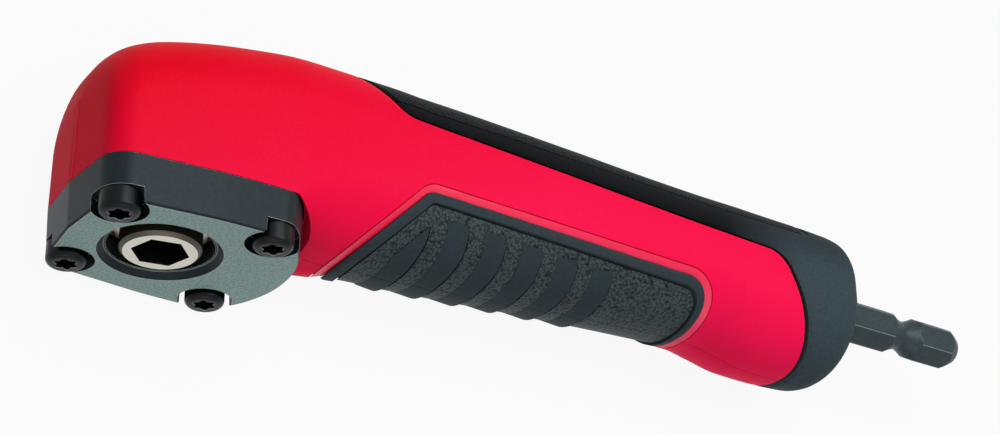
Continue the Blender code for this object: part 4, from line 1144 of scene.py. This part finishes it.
def dress_inner_pieces(nodes):
    """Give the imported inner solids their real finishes."""
    finishes = {
        "gear_case": DIE_CAST, "output_gear": GROUND_STEEL, "input_pinion": GROUND_STEEL,
        "output_inner_race": GROUND_STEEL, "output_outer_race": GROUND_STEEL,
        "input_inner_race": GROUND_STEEL, "input_outer_race": GROUND_STEEL,
        "output_ball_cage": BRONZE, "input_ball_cage": BRONZE, "output_spacer": DARK_STEEL,
        "pinion_shim": DARK_STEEL, "shaft_circlip": DARK_STEEL, "bearing_circlip": DARK_STEEL,
        "upper_bush": BRONZE, "rear_bush": BRONZE, "socket_magnet": NICKEL,
    }
    for name, material in finishes.items():
        nodes[name].data.materials.clear()
        nodes[name].data.materials.append(material)


def in_row(point):
    """A point in the tool's axes as one of the model's, in metres."""
    return (Vector(point) + FROM_SHANK_END) * MM


def place_camera():
    camera = new_object("photo_camera", bpy.data.cameras.new("photo_camera"))
    way = in_row(CAMERA_TARGET) - in_row(CAMERA_PLACE)
    turn = way.to_track_quat("-Z", "Y").to_matrix().to_4x4()
    roll = Matrix.Rotation(math.radians(CAMERA_ROLL), 4, "Z")
    camera.matrix_world = Matrix.Translation(in_row(CAMERA_PLACE)) @ turn @ roll
    camera.data.lens = CAMERA_LENS
    camera.data.sensor_width = 36.0
    camera.data.clip_start = 0.01
    bpy.context.scene.camera = camera


def add_lamp(name, place, target, size, power):
    data = bpy.data.lights.new(name, "AREA")
    data.shape = "RECTANGLE"
    data.size, data.size_y = size
    data.energy = power
    lamp = new_object(name, data)
    lamp.location = place
    way = Vector(target) - Vector(place)
    lamp.rotation_euler = way.to_track_quat("-Z", "Y").to_euler()


def any_ray(owner, *kinds):
    """1 for a ray of one of these kinds, else 0."""
    path = add_node(owner, "ShaderNodeLightPath")
    seen = path.outputs[kinds[0]]
    for kind in kinds[1:]:
        seen = arithmetic(owner, "MAXIMUM", seen, path.outputs[kind])
    return seen


def light_studio():
    """A softbox overhead, a weak one in front and a pale world."""
    head = in_row((40.0, 0.0, 0.0))
    add_lamp("overhead_softbox", head + Vector((0.06, 0.08, 0.55)), head, size=(0.5, 0.4), power=2.9)
    add_lamp("front_fill", head + Vector((-0.05, -0.5, 0.12)), head, size=(0.5, 0.25), power=0.6)
    world = bpy.data.worlds.new("studio")
    bpy.context.scene.world = world
    world.use_nodes = True
    world.node_tree.nodes.clear()
    seen = any_ray(world, "Is Camera Ray", "Is Glossy Ray", "Is Transmission Ray")
    dim = add_node(world, "ShaderNodeBackground", {"Color": (1, 1, 1, 1), "Strength": 0.18})
    white = add_node(world, "ShaderNodeBackground", {"Color": (1, 1, 1, 1)})
    mix = add_node(world, "ShaderNodeMixShader", None,
                   {0: seen, 1: dim.outputs[0], 2: white.outputs[0]})
    add_node(world, "ShaderNodeOutputWorld", None, {"Surface": mix.outputs[0]})


def lay_floor():
    """A white table top that keeps a faint shadow."""
    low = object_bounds()[0][2]
    points = [(x, y, low) for x, y in ((-1.5, -1.5), (1.5, -1.5), (1.5, 1.5), (-1.5, 1.5))]
    mesh = bpy.data.meshes.new("table_top")
    mesh.from_pydata(points, [], [(0, 1, 2, 3)])
    floor = new_object("table_top", mesh)
    material = blank_material("matt_white_laminate")
    seen = any_ray(material, "Is Camera Ray", "Is Glossy Ray")
    share = add_node(material, "ShaderNodeMath", {"operation": "MULTIPLY", 1: 0.93}, {0: seen})
    matt = add_node(material, "ShaderNodeBsdfDiffuse", {"Color": (0.5, 0.5, 0.5, 1)})
    glow = add_node(material, "ShaderNodeEmission", {"Color": (1, 1, 1, 1)})
    mix = add_node(material, "ShaderNodeMixShader", None,
                   {0: share.outputs[0], 1: matt.outputs[0], 2: glow.outputs[0]})
    add_node(material, "ShaderNodeOutputMaterial", None, {"Surface": mix.outputs[0]})
    mesh.materials.append(material)


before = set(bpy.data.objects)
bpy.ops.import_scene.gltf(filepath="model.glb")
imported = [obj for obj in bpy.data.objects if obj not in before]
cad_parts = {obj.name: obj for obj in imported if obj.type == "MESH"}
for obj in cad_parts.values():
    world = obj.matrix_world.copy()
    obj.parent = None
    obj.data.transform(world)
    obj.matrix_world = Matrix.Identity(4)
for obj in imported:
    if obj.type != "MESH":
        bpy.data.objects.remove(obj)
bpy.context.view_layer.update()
place_camera()
make_housing()
make_pad_beads()
make_back_grips()
make_grip_pads()
make_cover_plate()
make_screws()
make_spindle()
make_shaft()
dress_inner_pieces(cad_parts)
light_studio()
lay_floor()
bpy.context.scene.view_settings.view_transform = "Standard"
